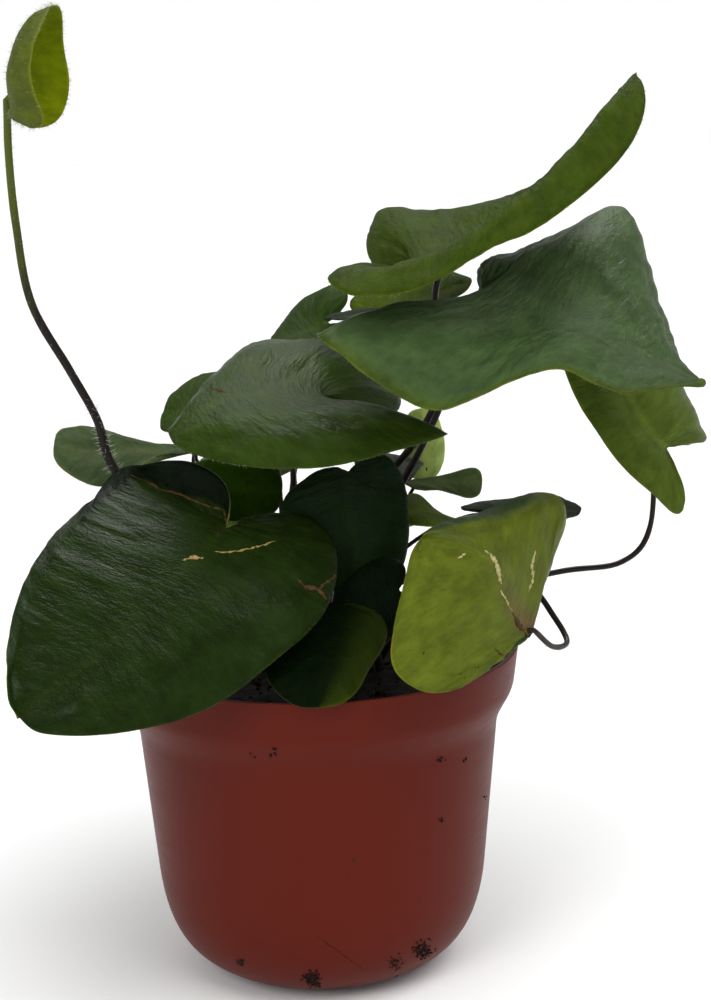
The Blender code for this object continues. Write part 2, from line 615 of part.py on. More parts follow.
def add_crown(collection):
    """The rhizome: a short rounded knob, sunk in the peat."""
    bm = bmesh.new()
    bmesh.ops.create_uvsphere(bm, u_segments=10, v_segments=7, radius=1.0)
    half_height = (CROWN_TOP - CROWN_BOTTOM) / 2
    bmesh.ops.scale(bm, vec=(CROWN_RADIUS, CROWN_RADIUS, half_height), verts=bm.verts)
    bmesh.ops.translate(bm, verts=bm.verts, vec=(*CROWN_CENTRE, CROWN_BOTTOM + half_height))
    return add_object("crown", mesh_from(bm, "crown"), STIPE_COLOUR, 0.9, collection)


def main():
    for old in list(bpy.data.objects):
        bpy.data.objects.remove(old, do_unlink=True)
    collection = bpy.data.collections.new("heart_fern")
    cutters = bpy.data.collections.new("cutters")
    for group in (collection, cutters):
        bpy.context.scene.collection.children.link(group)
    add_pot(collection, cutters)
    add_soil(collection, cutters)
    add_crown(collection)
    for name in (*LARGE_FRONDS, *SMALL_FRONDS):
        add_blade(name, collection)
        add_stipe(name, collection)
    bpy.context.view_layer.update()


main()
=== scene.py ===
# %% [markdown]
# # A heart fern in its nursery pot
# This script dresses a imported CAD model. The model says where everything is: one pot, the peat in it,
# the crown, and 26 fronds, each a heart-shaped blade on a thin stalk. Every blade and stalk is made
# again here with many more faces, on the same lines, so that it can carry veins, creases and hairs.
# The model is loaded first, and nothing of it is moved.

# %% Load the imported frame
import math

import bpy
import numpy as np
from mathutils import Matrix, Vector
from mathutils.bvhtree import BVHTree


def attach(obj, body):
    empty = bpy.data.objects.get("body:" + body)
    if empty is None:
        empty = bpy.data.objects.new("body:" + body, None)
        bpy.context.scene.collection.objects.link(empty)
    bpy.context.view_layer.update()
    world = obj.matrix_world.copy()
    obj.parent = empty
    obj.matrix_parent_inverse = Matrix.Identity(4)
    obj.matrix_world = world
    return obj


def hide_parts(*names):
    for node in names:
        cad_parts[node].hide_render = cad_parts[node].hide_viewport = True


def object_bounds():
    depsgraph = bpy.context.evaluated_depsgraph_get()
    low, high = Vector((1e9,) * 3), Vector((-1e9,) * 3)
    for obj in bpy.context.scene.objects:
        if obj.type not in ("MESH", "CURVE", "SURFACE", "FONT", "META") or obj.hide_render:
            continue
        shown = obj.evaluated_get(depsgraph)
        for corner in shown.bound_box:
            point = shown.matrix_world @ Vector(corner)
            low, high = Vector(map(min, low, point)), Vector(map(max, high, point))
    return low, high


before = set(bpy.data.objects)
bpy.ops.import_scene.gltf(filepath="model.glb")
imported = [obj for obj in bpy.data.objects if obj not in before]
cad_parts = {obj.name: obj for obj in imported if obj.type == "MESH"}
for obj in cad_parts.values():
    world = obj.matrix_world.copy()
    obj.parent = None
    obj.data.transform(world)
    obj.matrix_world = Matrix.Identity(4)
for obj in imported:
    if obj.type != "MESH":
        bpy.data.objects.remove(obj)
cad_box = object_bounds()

MM = 0.001
print("nodes in the frame:", len(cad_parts))
print("CAD box in mm:", [[round(float(value) / MM, 1) for value in corner] for corner in cad_box])

# %% Put an object into the scene


def new_mesh(name, places, faces):
    """A mesh from points in metres and rows of point numbers."""
    mesh = bpy.data.meshes.new(name)
    mesh.from_pydata(np.asarray(places, float).tolist(), [], np.asarray(faces).tolist())
    return mesh


def new_object(name, data):
    """An object in the scene, at the origin."""
    made = bpy.data.objects.new(name, data)
    bpy.context.scene.collection.objects.link(made)
    return made


# %% [markdown]
# ## Camera, floor and light
# The camera comes before the pieces, because some marks are placed by where they show in the picture.
# Its place and lens were found by matching the pot's ellipses. A studio could be lit by a few area
# lamps, but their light falls off on a wide floor, which would leave a grey horizon. Here the main
# light is a sun as wide as a soft box, high above: it lights the whole pale floor alike, and faces
# that look up are brighter than faces that look at the viewer. A small lamp at the left fills the
# shade. Highlights come only from a third light, behind the plant. The sky is white near the horizon,
# where the camera sees it, and dimmer above, so that nothing lays a veil on the dark leaves.

# %% The camera
EYE = np.array([0.0, -410.0, 188.0])
LENS, SENSOR_WIDTH, NEAREST_SEEN = 68.4, 36.0, 0.01
PITCH, HEADING, ROLL = np.radians([-11.41, 1.333, -1.405])
FRAME_WIDTH, FRAME_HEIGHT = 711, 1000

ahead = Vector((math.sin(HEADING) * math.cos(PITCH), math.cos(HEADING) * math.cos(PITCH), math.sin(PITCH)))
level_right = ahead.cross(Vector((0, 0, 1))).normalized()
level_up = level_right.cross(ahead)
right = level_right * math.cos(ROLL) + level_up * math.sin(ROLL)
up = right.cross(ahead)

lens = bpy.data.cameras.new("camera")
lens.lens, lens.sensor_width, lens.clip_start = LENS, SENSOR_WIDTH, NEAREST_SEEN
camera = new_object("camera", lens)
camera.matrix_world = Matrix((
    (right.x, up.x, -ahead.x, EYE[0] * MM), (right.y, up.y, -ahead.y, EYE[1] * MM),
    (right.z, up.z, -ahead.z, EYE[2] * MM), (0, 0, 0, 1)))
bpy.context.scene.camera = camera
print("camera looks down by", round(-math.degrees(PITCH), 1), "degrees")

# %% Where a point shows in the picture
PIXELS_PER_SLOPE = FRAME_HEIGHT * LENS / SENSOR_WIDTH
AXES = np.array([right, up, ahead]).T


def unit(vectors):
    """Each vector, made one long."""
    return vectors / np.maximum(np.linalg.norm(vectors, axis=-1, keepdims=True), 1e-9)


def picture_place(places):
    """Points in mm to picture pixels: turned into the camera's axes, then divided by the depth."""
    seen = (np.asarray(places) - EYE) @ AXES
    slopes = seen[..., :2] / seen[..., 2:]
    return np.array([FRAME_WIDTH / 2, FRAME_HEIGHT / 2]) + PIXELS_PER_SLOPE * slopes * np.array([1, -1])


def view_ray(pixel):
    """The direction from the eye through a picture pixel, one unit long."""
    x, y = (pixel[0] - FRAME_WIDTH / 2) / PIXELS_PER_SLOPE, (FRAME_HEIGHT / 2 - pixel[1]) / PIXELS_PER_SLOPE
    return unit(AXES @ np.array([x, y, 1.0]))


print("the origin shows at pixel", picture_place([0, 0, 0]).round(1))

# %% Short ways to add shader nodes


def fill_sockets(tree, node, values):
    """Each value is a number or a colour, or another node's output, which is linked."""
    for socket, value in values.items():
        if isinstance(value, bpy.types.NodeSocket):
            tree.links.new(value, node.inputs[socket])
        else:
            node.inputs[socket].default_value = value


def shader_node(tree, kind, values, **settings):
    """A new node: settings are its menus, values its sockets."""
    made = tree.nodes.new("ShaderNode" + kind)
    for setting, value in settings.items():
        setattr(made, setting, value)
    fill_sockets(tree, made, values)
    return made


def on_object(tree):
    """The place in metres, which every piece shares."""
    return shader_node(tree, "TexCoord", {}).outputs["Object"]


def stored(tree, name, output="Fac"):
    """What the points of a piece carry under a name."""
    return shader_node(tree, "Attribute", {}, attribute_name=name).outputs[output]


def stretched(tree, where, scale):
    """Places times a scale along each axis."""
    return shader_node(tree, "Mapping", {"Vector": where, "Scale": scale}).outputs["Vector"]


def noise(tree, where, scale, detail=2.0, **values):
    """Smooth noise about 0.5."""
    sockets = {"Vector": where, "Scale": scale, "Detail": detail, **values}
    return shader_node(tree, "TexNoise", sockets).outputs["Fac"]


def spread(tree, value, start, end, low=0.0, high=1.0):
    """low up to start, high from end on, a straight line between."""
    limits = {"From Min": start, "From Max": end, "To Min": low, "To Max": high}
    return shader_node(tree, "MapRange", {"Value": value, **limits}).outputs["Result"]


def combined(tree, kind, operation, values):
    """The result of a Math or VectorMath node."""
    return shader_node(tree, kind, values, operation=operation).outputs[0]


def two_tone(tree, share, first, second):
    """From one colour to another by a share."""
    first, second = ((*tone, 1.0) if isinstance(tone, tuple) else tone for tone in (first, second))
    return shader_node(tree, "Mix", {
        "Factor": share, "A": first, "B": second}, data_type="RGBA").outputs["Result"]


def raised(tree, height, depth, **values):
    """Normals of a skin that noise raises by up to depth mm."""
    return shader_node(tree, "Bump", {
        "Height": height, "Distance": depth * MM, "Strength": 1.0, **values}).outputs["Normal"]


def new_finish(name):
    """A material with only its Principled shader, as (material, tree)."""
    made = bpy.data.materials.new(name)
    made.use_nodes = True
    return made, made.node_tree


def finished(made, colour, roughness, gloss, **values):
    """The material, with its shader's sockets filled."""
    shader = made.node_tree.nodes["Principled BSDF"]
    main = {"Base Color": colour, "Roughness": roughness, "Specular IOR Level": gloss}
    fill_sockets(made.node_tree, shader, {**main, **values})
    return made


# %% Floor, sky and soft light
FLOOR_SIZE = 8.0
AIM = Vector((0, 0, 0.11))
floor_corners = FLOOR_SIZE * np.array([(-1, -1, 0), (1, -1, 0), (1, 1, 0), (-1, 1, 0)])
floor = new_object("floor", new_mesh("floor", floor_corners, [(0, 1, 2, 3)]))
floor_finish, tree = new_finish("pale_paper")
shade = spread(tree, noise(tree, on_object(tree), 6.0, 3.0), 0.0, 1.0, 0.91, 0.94)
floor.data.materials.append(finished(floor_finish, shade, 0.9, 0.1))


def studio_sky(low, dim, high):
    """White up to 6 degrees above the horizon, dim between 12 and 40 degrees, brighter overhead."""
    world = bpy.data.worlds.new("studio_sky")
    world.use_nodes = True
    tree = world.node_tree
    direction = shader_node(tree, "TexCoord", {}).outputs["Generated"]
    height = shader_node(tree, "SeparateXYZ", {"Vector": direction}).outputs["Z"]
    levels = shader_node(tree, "ValToRGB", {"Fac": height})
    stops = [(0.10, low), (0.20, dim), (0.64, dim), (1.0, high)]
    while len(levels.color_ramp.elements) < len(stops):
        levels.color_ramp.elements.new(0.5)
    for element, (place, level) in zip(levels.color_ramp.elements, stops):
        element.position, element.color = place, (level, level, level, 1.0)
    fill_sockets(tree, tree.nodes["Background"], {"Color": levels.outputs["Color"], "Strength": 1.0})
    return world


def soft_light(name, kind, energy, width, place, **seen_by):
    """A light aimed at the plant. Its width is that of a sun's disc in degrees or of a lamp in metres,
    and seen_by says which rays it is left out of."""
    lamp = bpy.data.lights.new(name, kind)
    lamp.energy = energy
    if kind == "SUN":
        lamp.angle = math.radians(width)
    else:
        lamp.size = width
    light = new_object(name, lamp)
    light.location = place
    light.rotation_euler = (Vector(place) - AIM).to_track_quat("Z", "Y").to_euler()
    for ray, seen in seen_by.items():
        setattr(light, ray, seen)


bpy.context.scene.world = studio_sky(low=1.0, dim=0.5, high=0.7)
bpy.context.scene.view_settings.view_transform = "Standard"
soft_light("main", "SUN", 2.2, 60, (0.35, -0.30, 1.06), visible_glossy=False)
soft_light("fill", "AREA", 5.0, 0.5, (-0.55, -0.9, 0.75), visible_glossy=False)
soft_light("sheen", "SUN", 3.4, 36, (0.1, 0.5, 0.97), visible_diffuse=False)
print("floor, sky and three soft lights are in place")

# %% [markdown]
# ## The lines that the fronds grow on
# A real blade grows from the hub, where the stalk meets it: the midrib runs ahead from the hub to the
# tip, and each margin runs back round a lobe and then ahead to the same tip. A leaf could be a flat
# picture on a card, or a sculpted mesh. Here it is a surface between three curves, because the CAD
# model is made that way, so the same few points give the same blade at any fineness. 13 fronds have
# drawn curves, some with a crest or crease in them, and 13 small ones are a flat heart that is bent
# by a few angles.

# %% Points of the large fronds (mm): midrib, left margin, right margin, and how each half arches
LARGE_FRONDS = {
    "young": dict(
        midrib=((-59, -14, 191), (-59, -14, 195), (-58, -14, 201), (-55, -14, 208), (-49, -14, 212)),
        left=(
            (-56, -19, 188), (-53, -24, 187), (-50, -26, 188), (-52, -27, 193), (-53, -27, 198),
            (-52, -25, 204), (-50, -20, 209)),
        right=(
            (-57, -9, 188), (-55, -4, 187), (-51, -2, 188), (-49, -1, 192), (-48, -1, 197),
            (-49, -3, 204), (-48, -8, 210)),
        bulge=(-0.14, -0.14)),
    "front": dict(
        midrib=((-18, -24, 105), (-26, -31, 98), (-36, -38, 90), (-49, -46, 80), (-59, -52, 74)),
        left=(
            (-13, -20, 106), (-6, -15, 106), (1, -15, 104), (5, -24, 98), (2, -38, 90),
            (-6, -48, 85), (-21, -52, 75), (-39, -54, 71), (-54, -53, 71)),
        right=(
            (-17, -22, 110), (-19, -19, 115), (-27, -15, 118), (-37, -9, 116), (-43, -5, 114),
            (-46, -12, 110), (-53, -18, 105), (-59, -31, 97), (-61, -42, 89), (-61, -50, 79)),
        right_crest=(
            (-18, -21, 108), (-23, -18, 110), (-28, -14, 110), (-33, -11, 112), (-38, -9, 113),
            (-46, -16, 109), (-52, -25, 103), (-57, -35, 94), (-60, -46, 82)),
        bulge=(0.06, 0.0)),
    "middle": dict(
        midrib=((-3, -9, 129), (-11, -12, 130), (-18, -15, 130), (-25, -19, 128), (-30, -22, 124)),
        left=(
            (8, -5, 126), (19, -8, 123), (28, -12, 122), (30, -15, 122), (25, -18, 121),
            (19, -21, 120), (12, -25, 119), (4, -28, 118), (-6, -29, 118), (-16, -28, 119),
            (-25, -24, 121)),
        right=(
            (8, 0, 124), (18, 8, 122), (21, 16, 125), (16, 22, 131), (7, 25, 137),
            (-5, 25, 138), (-13, 19, 138), (-21, 6, 133), (-27, -10, 127)),
        bulge=(0.1, 0.1)),
    "top": dict(
        midrib=((27, 4, 155), (38, 6, 159), (50, 8, 167), (62, 9, 179), (73, 11, 196)),
        left=(
            (20, 10, 154), (15, 20, 155), (14, 27, 160), (16, 33, 165), (19, 37, 167),
            (27, 38, 166), (36, 38, 166), (43, 37, 167), (50, 34, 168), (58, 29, 173),
            (66, 22, 183), (72, 16, 192)),
        right=(
            (18, -3, 154), (8, -13, 156), (4, -23, 156), (8, -30, 153), (17, -31, 153),
            (26, -30, 155), (36, -27, 161), (45, -25, 164), (54, -20, 169), (64, -12, 176),
            (70, -5, 182), (74, 3, 190)),
        right_crest=(
            (18, -5, 156), (10, -14, 158), (9, -22, 158), (14, -25, 158), (22, -25, 160),
            (28, -24, 162), (35, -23, 166), (41, -21, 170), (47, -18, 174), (53, -14, 179),
            (61, -7, 187), (68, 2, 193)),
        bulge=(0.1, 0.0)),
    "right": dict(
        midrib=((38, -2, 148), (48, -5, 145), (60, -9, 142), (72, -12, 136), (84, -14, 131)),
        left=(
            (38, 4, 150), (38, 10, 153), (41, 18, 156), (51, 26, 157), (62, 30, 161),
            (72, 28, 167), (76, 20, 159), (78, 12, 148), (80, 0, 137), (82, -8, 132)),
        right=(
            (30, -3, 147), (20, -10, 142), (10, -18, 142), (1, -28, 146), (6, -34, 142),
            (15, -38, 135), (25, -38, 130), (36, -36, 134), (50, -33, 138), (61, -31, 132),
            (74, -24, 132)),
        bulge=(0.1, 0.08)),
    "dark": dict(
        midrib=((8, -9, 113), (8, -11, 104), (9, -12, 97), (10, -13, 91), (12, -13, 85)),
        left=((12, -8, 117), (16, -7, 117), (20, -7, 111), (21, -8, 102), (20, -10, 94), (17, -12, 88)),
        right=(
            (6, -9, 115), (1, -9, 114), (-3, -9, 111), (-7, -10, 107), (-6, -11, 99),
            (-2, -12, 93), (5, -13, 87)),
        bulge=(0.08, 0.08)),
    "lip": dict(
        midrib=((6, -26, 88), (4, -34, 83), (2, -43, 78), (0, -49, 73)),
        left=(
            (9, -24, 88), (13, -24, 86), (15, -29, 83), (13, -35, 80), (10, -41, 78),
            (8, -46, 75), (4, -49, 74)),
        right=((3, -24, 88), (-2, -25, 88), (-8, -33, 85), (-11, -42, 81), (-9, -47, 77), (-5, -49, 74)),
        bulge=(0.08, 0.08)),
    "turned": dict(
        midrib=(
            (45, -27, 81), (42, -31, 85), (39, -35, 93), (35, -39, 100), (30, -41, 104), (22, -40, 106)),
        left=(
            (47, -22, 84), (49, -17, 89), (52, -14, 95), (54, -12, 100), (55, -11, 104),
            (53, -11, 107), (49, -12, 108), (44, -16, 108), (38, -20, 107), (32, -25, 106),
            (26, -31, 106)),
        left_crest=(
            (46, -24, 85), (48, -21, 90), (50, -18, 96), (52, -16, 102), (52, -15, 105),
            (49, -18, 107), (45, -22, 106), (40, -26, 105), (34, -31, 105), (28, -35, 105)),
        right=(
            (43, -30, 81), (39, -36, 80), (32, -44, 77), (27, -49, 76), (22, -51, 76),
            (17, -53, 79), (14, -52, 83), (15, -49, 87), (16, -46, 92), (18, -43, 97),
            (19, -41, 102)),
        bulge=(0.0, -0.05)),
    "hanging": dict(
        midrib=((80, 12, 113), (77, 13, 116), (73, 15, 123), (68, 17, 132), (65, 19, 142)),
        left=(
            (82, 10, 109), (84, 7, 103), (83, 5, 98), (81, 4, 98), (77, 4, 103), (70, 5, 109),
            (65, 7, 116), (60, 9, 124), (57, 11, 132), (57, 14, 139)),
        right=(
            (82, 14, 113), (88, 20, 112), (93, 24, 112), (91, 27, 116), (89, 29, 122),
            (84, 31, 130), (75, 28, 138)),
        bulge=(0.1, 0.1)),
    "left": dict(
        midrib=(
            (-24, 11, 115), (-34, 10, 115), (-40, 9, 116), (-48, 6, 116), (-57, 4, 119)),
        left=(
            (-27, 7, 116), (-34, 7, 115), (-38, 5, 114), (-42, 3, 110), (-46, 2, 109),
            (-51, 1, 111), (-56, 2, 115)),
        right=(
            (-25, 15, 116), (-34, 14, 116), (-39, 13, 117), (-44, 12, 120), (-50, 10, 122),
            (-55, 8, 122)),
        bulge=(0.05, 0.05)),
    "olive": dict(
        midrib=((-26, -2, 111), (-20, -1, 109), (-13, 1, 108), (-6, 3, 107)),
        left=(
            (-28, -1, 114), (-25, 0, 115), (-20, 2, 115), (-13, 4, 114), (-7, 4, 111)),
        right=(
            (-27, -4, 108), (-23, -5, 104), (-18, -4, 100), (-13, -1, 100), (-8, 1, 103)),
        bulge=(0.06, 0.06)),
    "spoon": dict(
        midrib=((22, 29, 103), (29, 28, 103), (35, 28, 103), (41, 28, 103)),
        left=(
            (23, 31, 104), (28, 30, 104), (32, 30, 104), (35, 30, 106), (38, 30, 107), (40, 30, 105)),
        right=(
            (23, 26, 102), (28, 26, 102), (32, 26, 102), (34, 26, 100), (37, 26, 99), (40, 27, 101)),
        bulge=(0.05, 0.05)),
    "pale": dict(
        midrib=((28, 44, 101), (28, 43, 107), (28, 43, 113), (27, 45, 119)),
        left=(
            (25, 44, 100), (23, 45, 103), (23, 45, 109), (23, 46, 115), (25, 46, 118)),
        right=(
            (30, 44, 100), (32, 45, 103), (33, 46, 108), (32, 47, 114), (30, 46, 118)),
        bulge=(0.08, 0.08)),
}
print("large fronds:", ", ".join(LARGE_FRONDS))

# %% Habit of the small fronds
# Hub (mm), heading, rise and roll (degrees), length, half width and lobe (mm), then the bends in
# degrees: arch, sway, twist, fold and curl.
SMALL_FRONDS = {
    "bright": ((18, 41, 142), (335, 15, 25), (25, 17, 11), (5, 0, 0, 10, -15)),
    "nook": ((15, 16, 144), (210, 0, -5), (13, 9, 7), (0, 0, 5, 10, -25)),
    "shoulder": ((3, 50, 138), (200, -15, -25), (13, 15, 12), (-5, -5, 25, 10, -40)),
    "peeping": ((-25, 36, 122), (185, -15, -20), (12, 15, 10), (-25, -10, 0, 15, -30)),
    "gap": ((17, -20, 89), (190, -20, -60), (16, 9, 5), (0, 0, 0, 10, -30)),
    "yellow": ((31, 7, 99), (200, 25, 0), (14, 12, 4), (-35, -5, -30, 0, 10)),
    "tucked": ((15, 23, 106), (25, 10, 20), (13, 10, 3), (0, 5, -15, 10, 5)),
    "slate": ((44, 24, 96), (345, 5, 5), (20, 14, 11), (-5, -5, 5, 15, -35)),
    "rear_a": ((-8, 36, 112), (110, -20, 0), (34, 19, 12), (-30, 5, 0, 20, -50)),
    "rear_b": ((0, 68, 113), (90, -10, 0), (30, 17, 11), (-35, -5, 10, 20, -50)),
    "rear_c": ((-34, 26, 96), (155, -15, 5), (24, 15, 9), (-25, 10, 0, 20, -45)),
    "rear_d": ((14, 40, 92), (90, -15, 0), (30, 14, 9), (-30, 0, -10, 20, -50)),
    "rear_e": ((38, 42, 88), (55, -20, 0), (18, 10, 7), (-20, 5, 0, 20, -40)),
}
HALF_HEART = (
    (0.0, 0.0), (-0.50, 0.10), (-0.92, 0.30), (-0.98, 0.62), (-0.55, 0.92),
    (0.10, 1.0), (0.42, 0.84), (0.72, 0.50), (0.92, 0.17), (1.0, 0.0))
print("small fronds:", ", ".join(SMALL_FRONDS))

# %% A smooth curve through points, and points at shares of its length
CURVE_FINENESS = 24


def smooth_curve(points, per_span=CURVE_FINENESS):
    """Catmull-Rom: between b and c, half of 2b + (c - a)s + (2a - 5b + 4c - d)s^2 + (3b - a - 3c + d)s^3."""
    points = np.asarray(points, float)
    ends = np.vstack([2 * points[0] - points[1], points, 2 * points[-1] - points[-2]])
    spans = len(points) - 1
    at = np.linspace(0, spans, spans * per_span + 1)
    index = np.minimum(at.astype(int), spans - 1)
    s = (at - index)[:, None]
    a, b, c, d = (ends[index + k] for k in range(4))
    cubic = 2 * b + (c - a) * s + (2 * a - 5 * b + 4 * c - d) * s**2 + (3 * b - a - 3 * c + d) * s**3
    return cubic / 2


def step_lengths(line):
    """The distance from each point of a line to the next."""
    return np.linalg.norm(np.diff(line, axis=0), axis=1)


def resample(samples, shares):
    """Points on a sampled curve where its length reaches the given shares of the whole."""
    length = np.concatenate([[0.0], np.cumsum(step_lengths(samples))])
    return np.stack([np.interp(shares * length[-1], length, axis) for axis in samples.T], axis=1)


front_midrib = smooth_curve(LARGE_FRONDS["front"]["midrib"])
print("length of the front frond's midrib:", step_lengths(front_midrib).sum().round(1), "mm")

# %% A flat heart, bent by its angles


def turn_about(axis, degrees):
    """The 3 x 3 matrix of a turn about x, y or z."""
    c, s = math.cos(math.radians(degrees)), math.sin(math.radians(degrees))
    rows = {"x": ((1, 0, 0), (0, c, -s), (0, s, c)), "y": ((c, 0, s), (0, 1, 0), (-s, 0, c)),
            "z": ((c, -s, 0), (s, c, 0), (0, 0, 1))}
    return np.array(rows[axis])


def bent_heart(hub, turns, sizes, bends):
    """Midrib and margins of a small frond. The spine is an arc in its own plane (arch) that swings
    aside (sway) and turns (twist). A margin point lies across it, folded up and curled along an arc."""
    heading, rise, roll = turns
    length, half_width, lobe = sizes
    arch, sway, twist, fold, curl = np.radians(bends)
    margin = smooth_curve([(x * (lobe if x < 0 else length), y * half_width) for x, y in HALF_HEART])
    midrib = np.stack([np.linspace(0, length, len(margin)), np.zeros(len(margin))], axis=1)

    def bent(line, side):
        along, across = line[:, 0] / length, line[:, 1]
        bow = arch * np.maximum(along, 0) / 2
        chord, level = line[:, 0] * np.sinc(bow / np.pi), np.zeros(len(line))
        aside = line[:, 0] * np.sin(sway * along / 2)
        spine = np.stack([chord * np.cos(bow), aside, chord * np.sin(bow)], axis=1)
        tangent = np.stack([np.cos(2 * bow), level, np.sin(2 * bow)], axis=1)
        normal = np.stack([-tangent[:, 2], level, tangent[:, 0]], axis=1)
        swing, turn = (sway * along)[:, None], (twist * along)[:, None]
        flat_side = np.array([0, 1, 0]) * np.cos(swing) - tangent * np.sin(swing)
        sideways = flat_side * np.cos(turn) + normal * np.sin(turn)
        upward = normal * np.cos(turn) - flat_side * np.sin(turn)
        half_turn = curl * across / (2 * half_width)
        reach = across * np.sinc(half_turn / np.pi)
        out = (side * reach * np.cos(fold + half_turn))[:, None]
        return spine + sideways * out + upward * (reach * np.sin(fold + half_turn))[:, None]

    turn_to = turn_about("z", heading) @ turn_about("y", -rise) @ turn_about("x", roll)
    lines = (bent(midrib, 1), bent(margin, 1), bent(margin, -1))
    return [line @ turn_to.T + np.array(hub) for line in lines]


# %% The lines of any frond
FRONDS = (*LARGE_FRONDS, *SMALL_FRONDS)
BULGE_BY_CURL = -1 / 8


def frond_lines(name):
    """Midrib, left margin and right margin from hub to tip, and the bulge of each half."""
    if name in SMALL_FRONDS:
        bulge = BULGE_BY_CURL * math.radians(SMALL_FRONDS[name][3][4])
        return *bent_heart(*SMALL_FRONDS[name]), (bulge, bulge)
    frond = LARGE_FRONDS[name]
    hub, tip = frond["midrib"][0], frond["midrib"][-1]
    left, right_side = (smooth_curve((hub, *frond[side], tip)) for side in ("left", "right"))
    return smooth_curve(frond["midrib"]), left, right_side, frond["bulge"]


def crest_line(name, side):
    """The crest or crease that a drawn half is bent along, from hub to tip, or None."""
    frond = LARGE_FRONDS.get(name, {})
    points = frond.get("left_crest" if side > 0 else "right_crest")
    if points is None:
        return None
    return smooth_curve((frond["midrib"][0], *points, frond["midrib"][-1]))


print(len(FRONDS), "fronds in all")

# %% The blade as a surface of two parameters
HUB_SHARE, INNER_PACE, TIP_SHIFT = 0.36, 1.1, 6
CREST_AT, CREST_ROUND = 2 / 3, 0.12
EASE_REACH, BLUNT_LENGTH, BLUNTNESS = 7.0, 9.0, 1.1


def eased_margins(left, right_side, t):
    """Both margins at shares t, taken as one line round the tip and rounded: a point goes to the mean
    of those within EASE_REACH mm, weighed by a cosine bell. The ends at the hub stay. In the last
    BLUNT_LENGTH mm they are moved apart by up to BLUNTNESS mm, so the tip is a small round."""
    line = np.concatenate([resample(left, t), resample(right_side, t)[-2::-1]])
    step = step_lengths(line).mean()
    reach = min(max(round(EASE_REACH / step), 1), len(t) // 3)
    padded = np.concatenate([2 * line[0] - line[reach:0:-1], line, 2 * line[-1] - line[-2:-reach - 2:-1]])
    bell = np.hanning(2 * reach + 3)[1:-1]
    eased = np.column_stack([np.convolve(values, bell / bell.sum(), "valid") for values in padded.T])
    left, right_side = eased[:len(t)], eased[:len(t) - 2:-1]
    back = np.clip((1 - t) * step * len(t) / BLUNT_LENGTH, 0, 1)
    wider = (BLUNTNESS * np.sqrt(np.minimum(back * 4, 1)) * (1 - back) ** 2 * (1 + 2 * back))[:, None]
    aside = unit(left - right_side) * wider
    return left + aside, right_side - aside


def blade_surface(name, rows, half_columns):
    """S(t, w) with t from hub to tip and w from -1 on the right margin over 0 to 1 on the left:
    S = I + (E - I)|w| + n b 4|w|(1 - |w|) sin(pi t). E runs on the margin by its length, I waits at the
    hub and then runs along the midrib, n is the half's mean normal and b its bulge in mm. A half with a
    crest C gets (C - S) times 1 - sqrt(d^2 + k^2 (1 - d^2)), d being the distance from the crest."""
    midrib, left, right_side, bulges = frond_lines(name)
    t = np.linspace(0, 1, rows + 1)
    inner = resample(midrib, np.clip((t - HUB_SHARE) / (1 - HUB_SHARE), 0, 1) ** INNER_PACE)
    left_edge, right_edge = eased_margins(left, right_side, t)
    inner = inner + (left_edge[-1] - inner[-1]) * t[:, None] ** TIP_SHIFT
    halves = []
    for edge, bulge, side in ((right_edge, bulges[1], -1), (left_edge, bulges[0], 1)):
        normal = unit(np.cross(np.gradient(edge, axis=0), edge - inner).sum(axis=0) * side)
        width = np.linalg.norm(edge - inner, axis=1).max()
        w = np.linspace(0, 1, half_columns + 1)[None, :, None]
        rise = bulge * width * 4 * w * (1 - w) * np.sin(np.pi * t)[:, None, None]
        half = inner[:, None] * (1 - w) + edge[:, None] * w + normal * rise
        crest = crest_line(name, side)
        if crest is not None:
            straight = inner * (1 - CREST_AT) + edge * CREST_AT
            away = 1 - np.minimum(w / CREST_AT, (1 - w) / (1 - CREST_AT))
            lift = 1 - np.sqrt(away**2 + CREST_ROUND**2 * (1 - away**2))
            half += (resample(crest, t) - straight)[:, None] * lift
        halves.append(half)
    return np.concatenate([halves[0][:, :0:-1], halves[1]], axis=1)


def soften_midrib(grid, reach):
    """Rounds the fold at the midrib: columns with |w| < reach go to (1 - s)^2 A + 2 s (1 - s) C + s^2 B,
    with C on the midrib, A and B where |w| is reach, and s from 0 to 1 between them."""
    half_columns = grid.shape[1] // 2
    near = round(reach * half_columns)
    a, c, b = grid[:, [half_columns - near]], grid[:, [half_columns]], grid[:, [half_columns + near]]
    s = np.linspace(0, 1, 2 * near + 1)[None, :, None]
    softened, columns = grid.copy(), slice(half_columns - near, half_columns + near + 1)
    softened[:, columns] = (1 - s) ** 2 * a + 2 * s * (1 - s) * c + s**2 * b
    return softened


coarse = blade_surface("front", 16, 3)
print("front blade reaches from", coarse.min(axis=(0, 1)).round(0), "to", coarse.max(axis=(0, 1)).round(0))

# %% [markdown]
# ## Relief, and a shell round it
# Heart fern blades are leathery. Their veins run from the hub and midrib to the margin and pull the
# skin into fine creases across the margin, with shallow puckers between. A bump map could fake that,
# but creases on the skyline and long soft highlights need real height, so the surface itself is
# raised by a smooth random height that is stretched along the veins. Then it gets a wall: an upper
# and a lower skin that come together at the margin.

# %% A smooth random height over a plane
RIPPLE_TABLE = 64


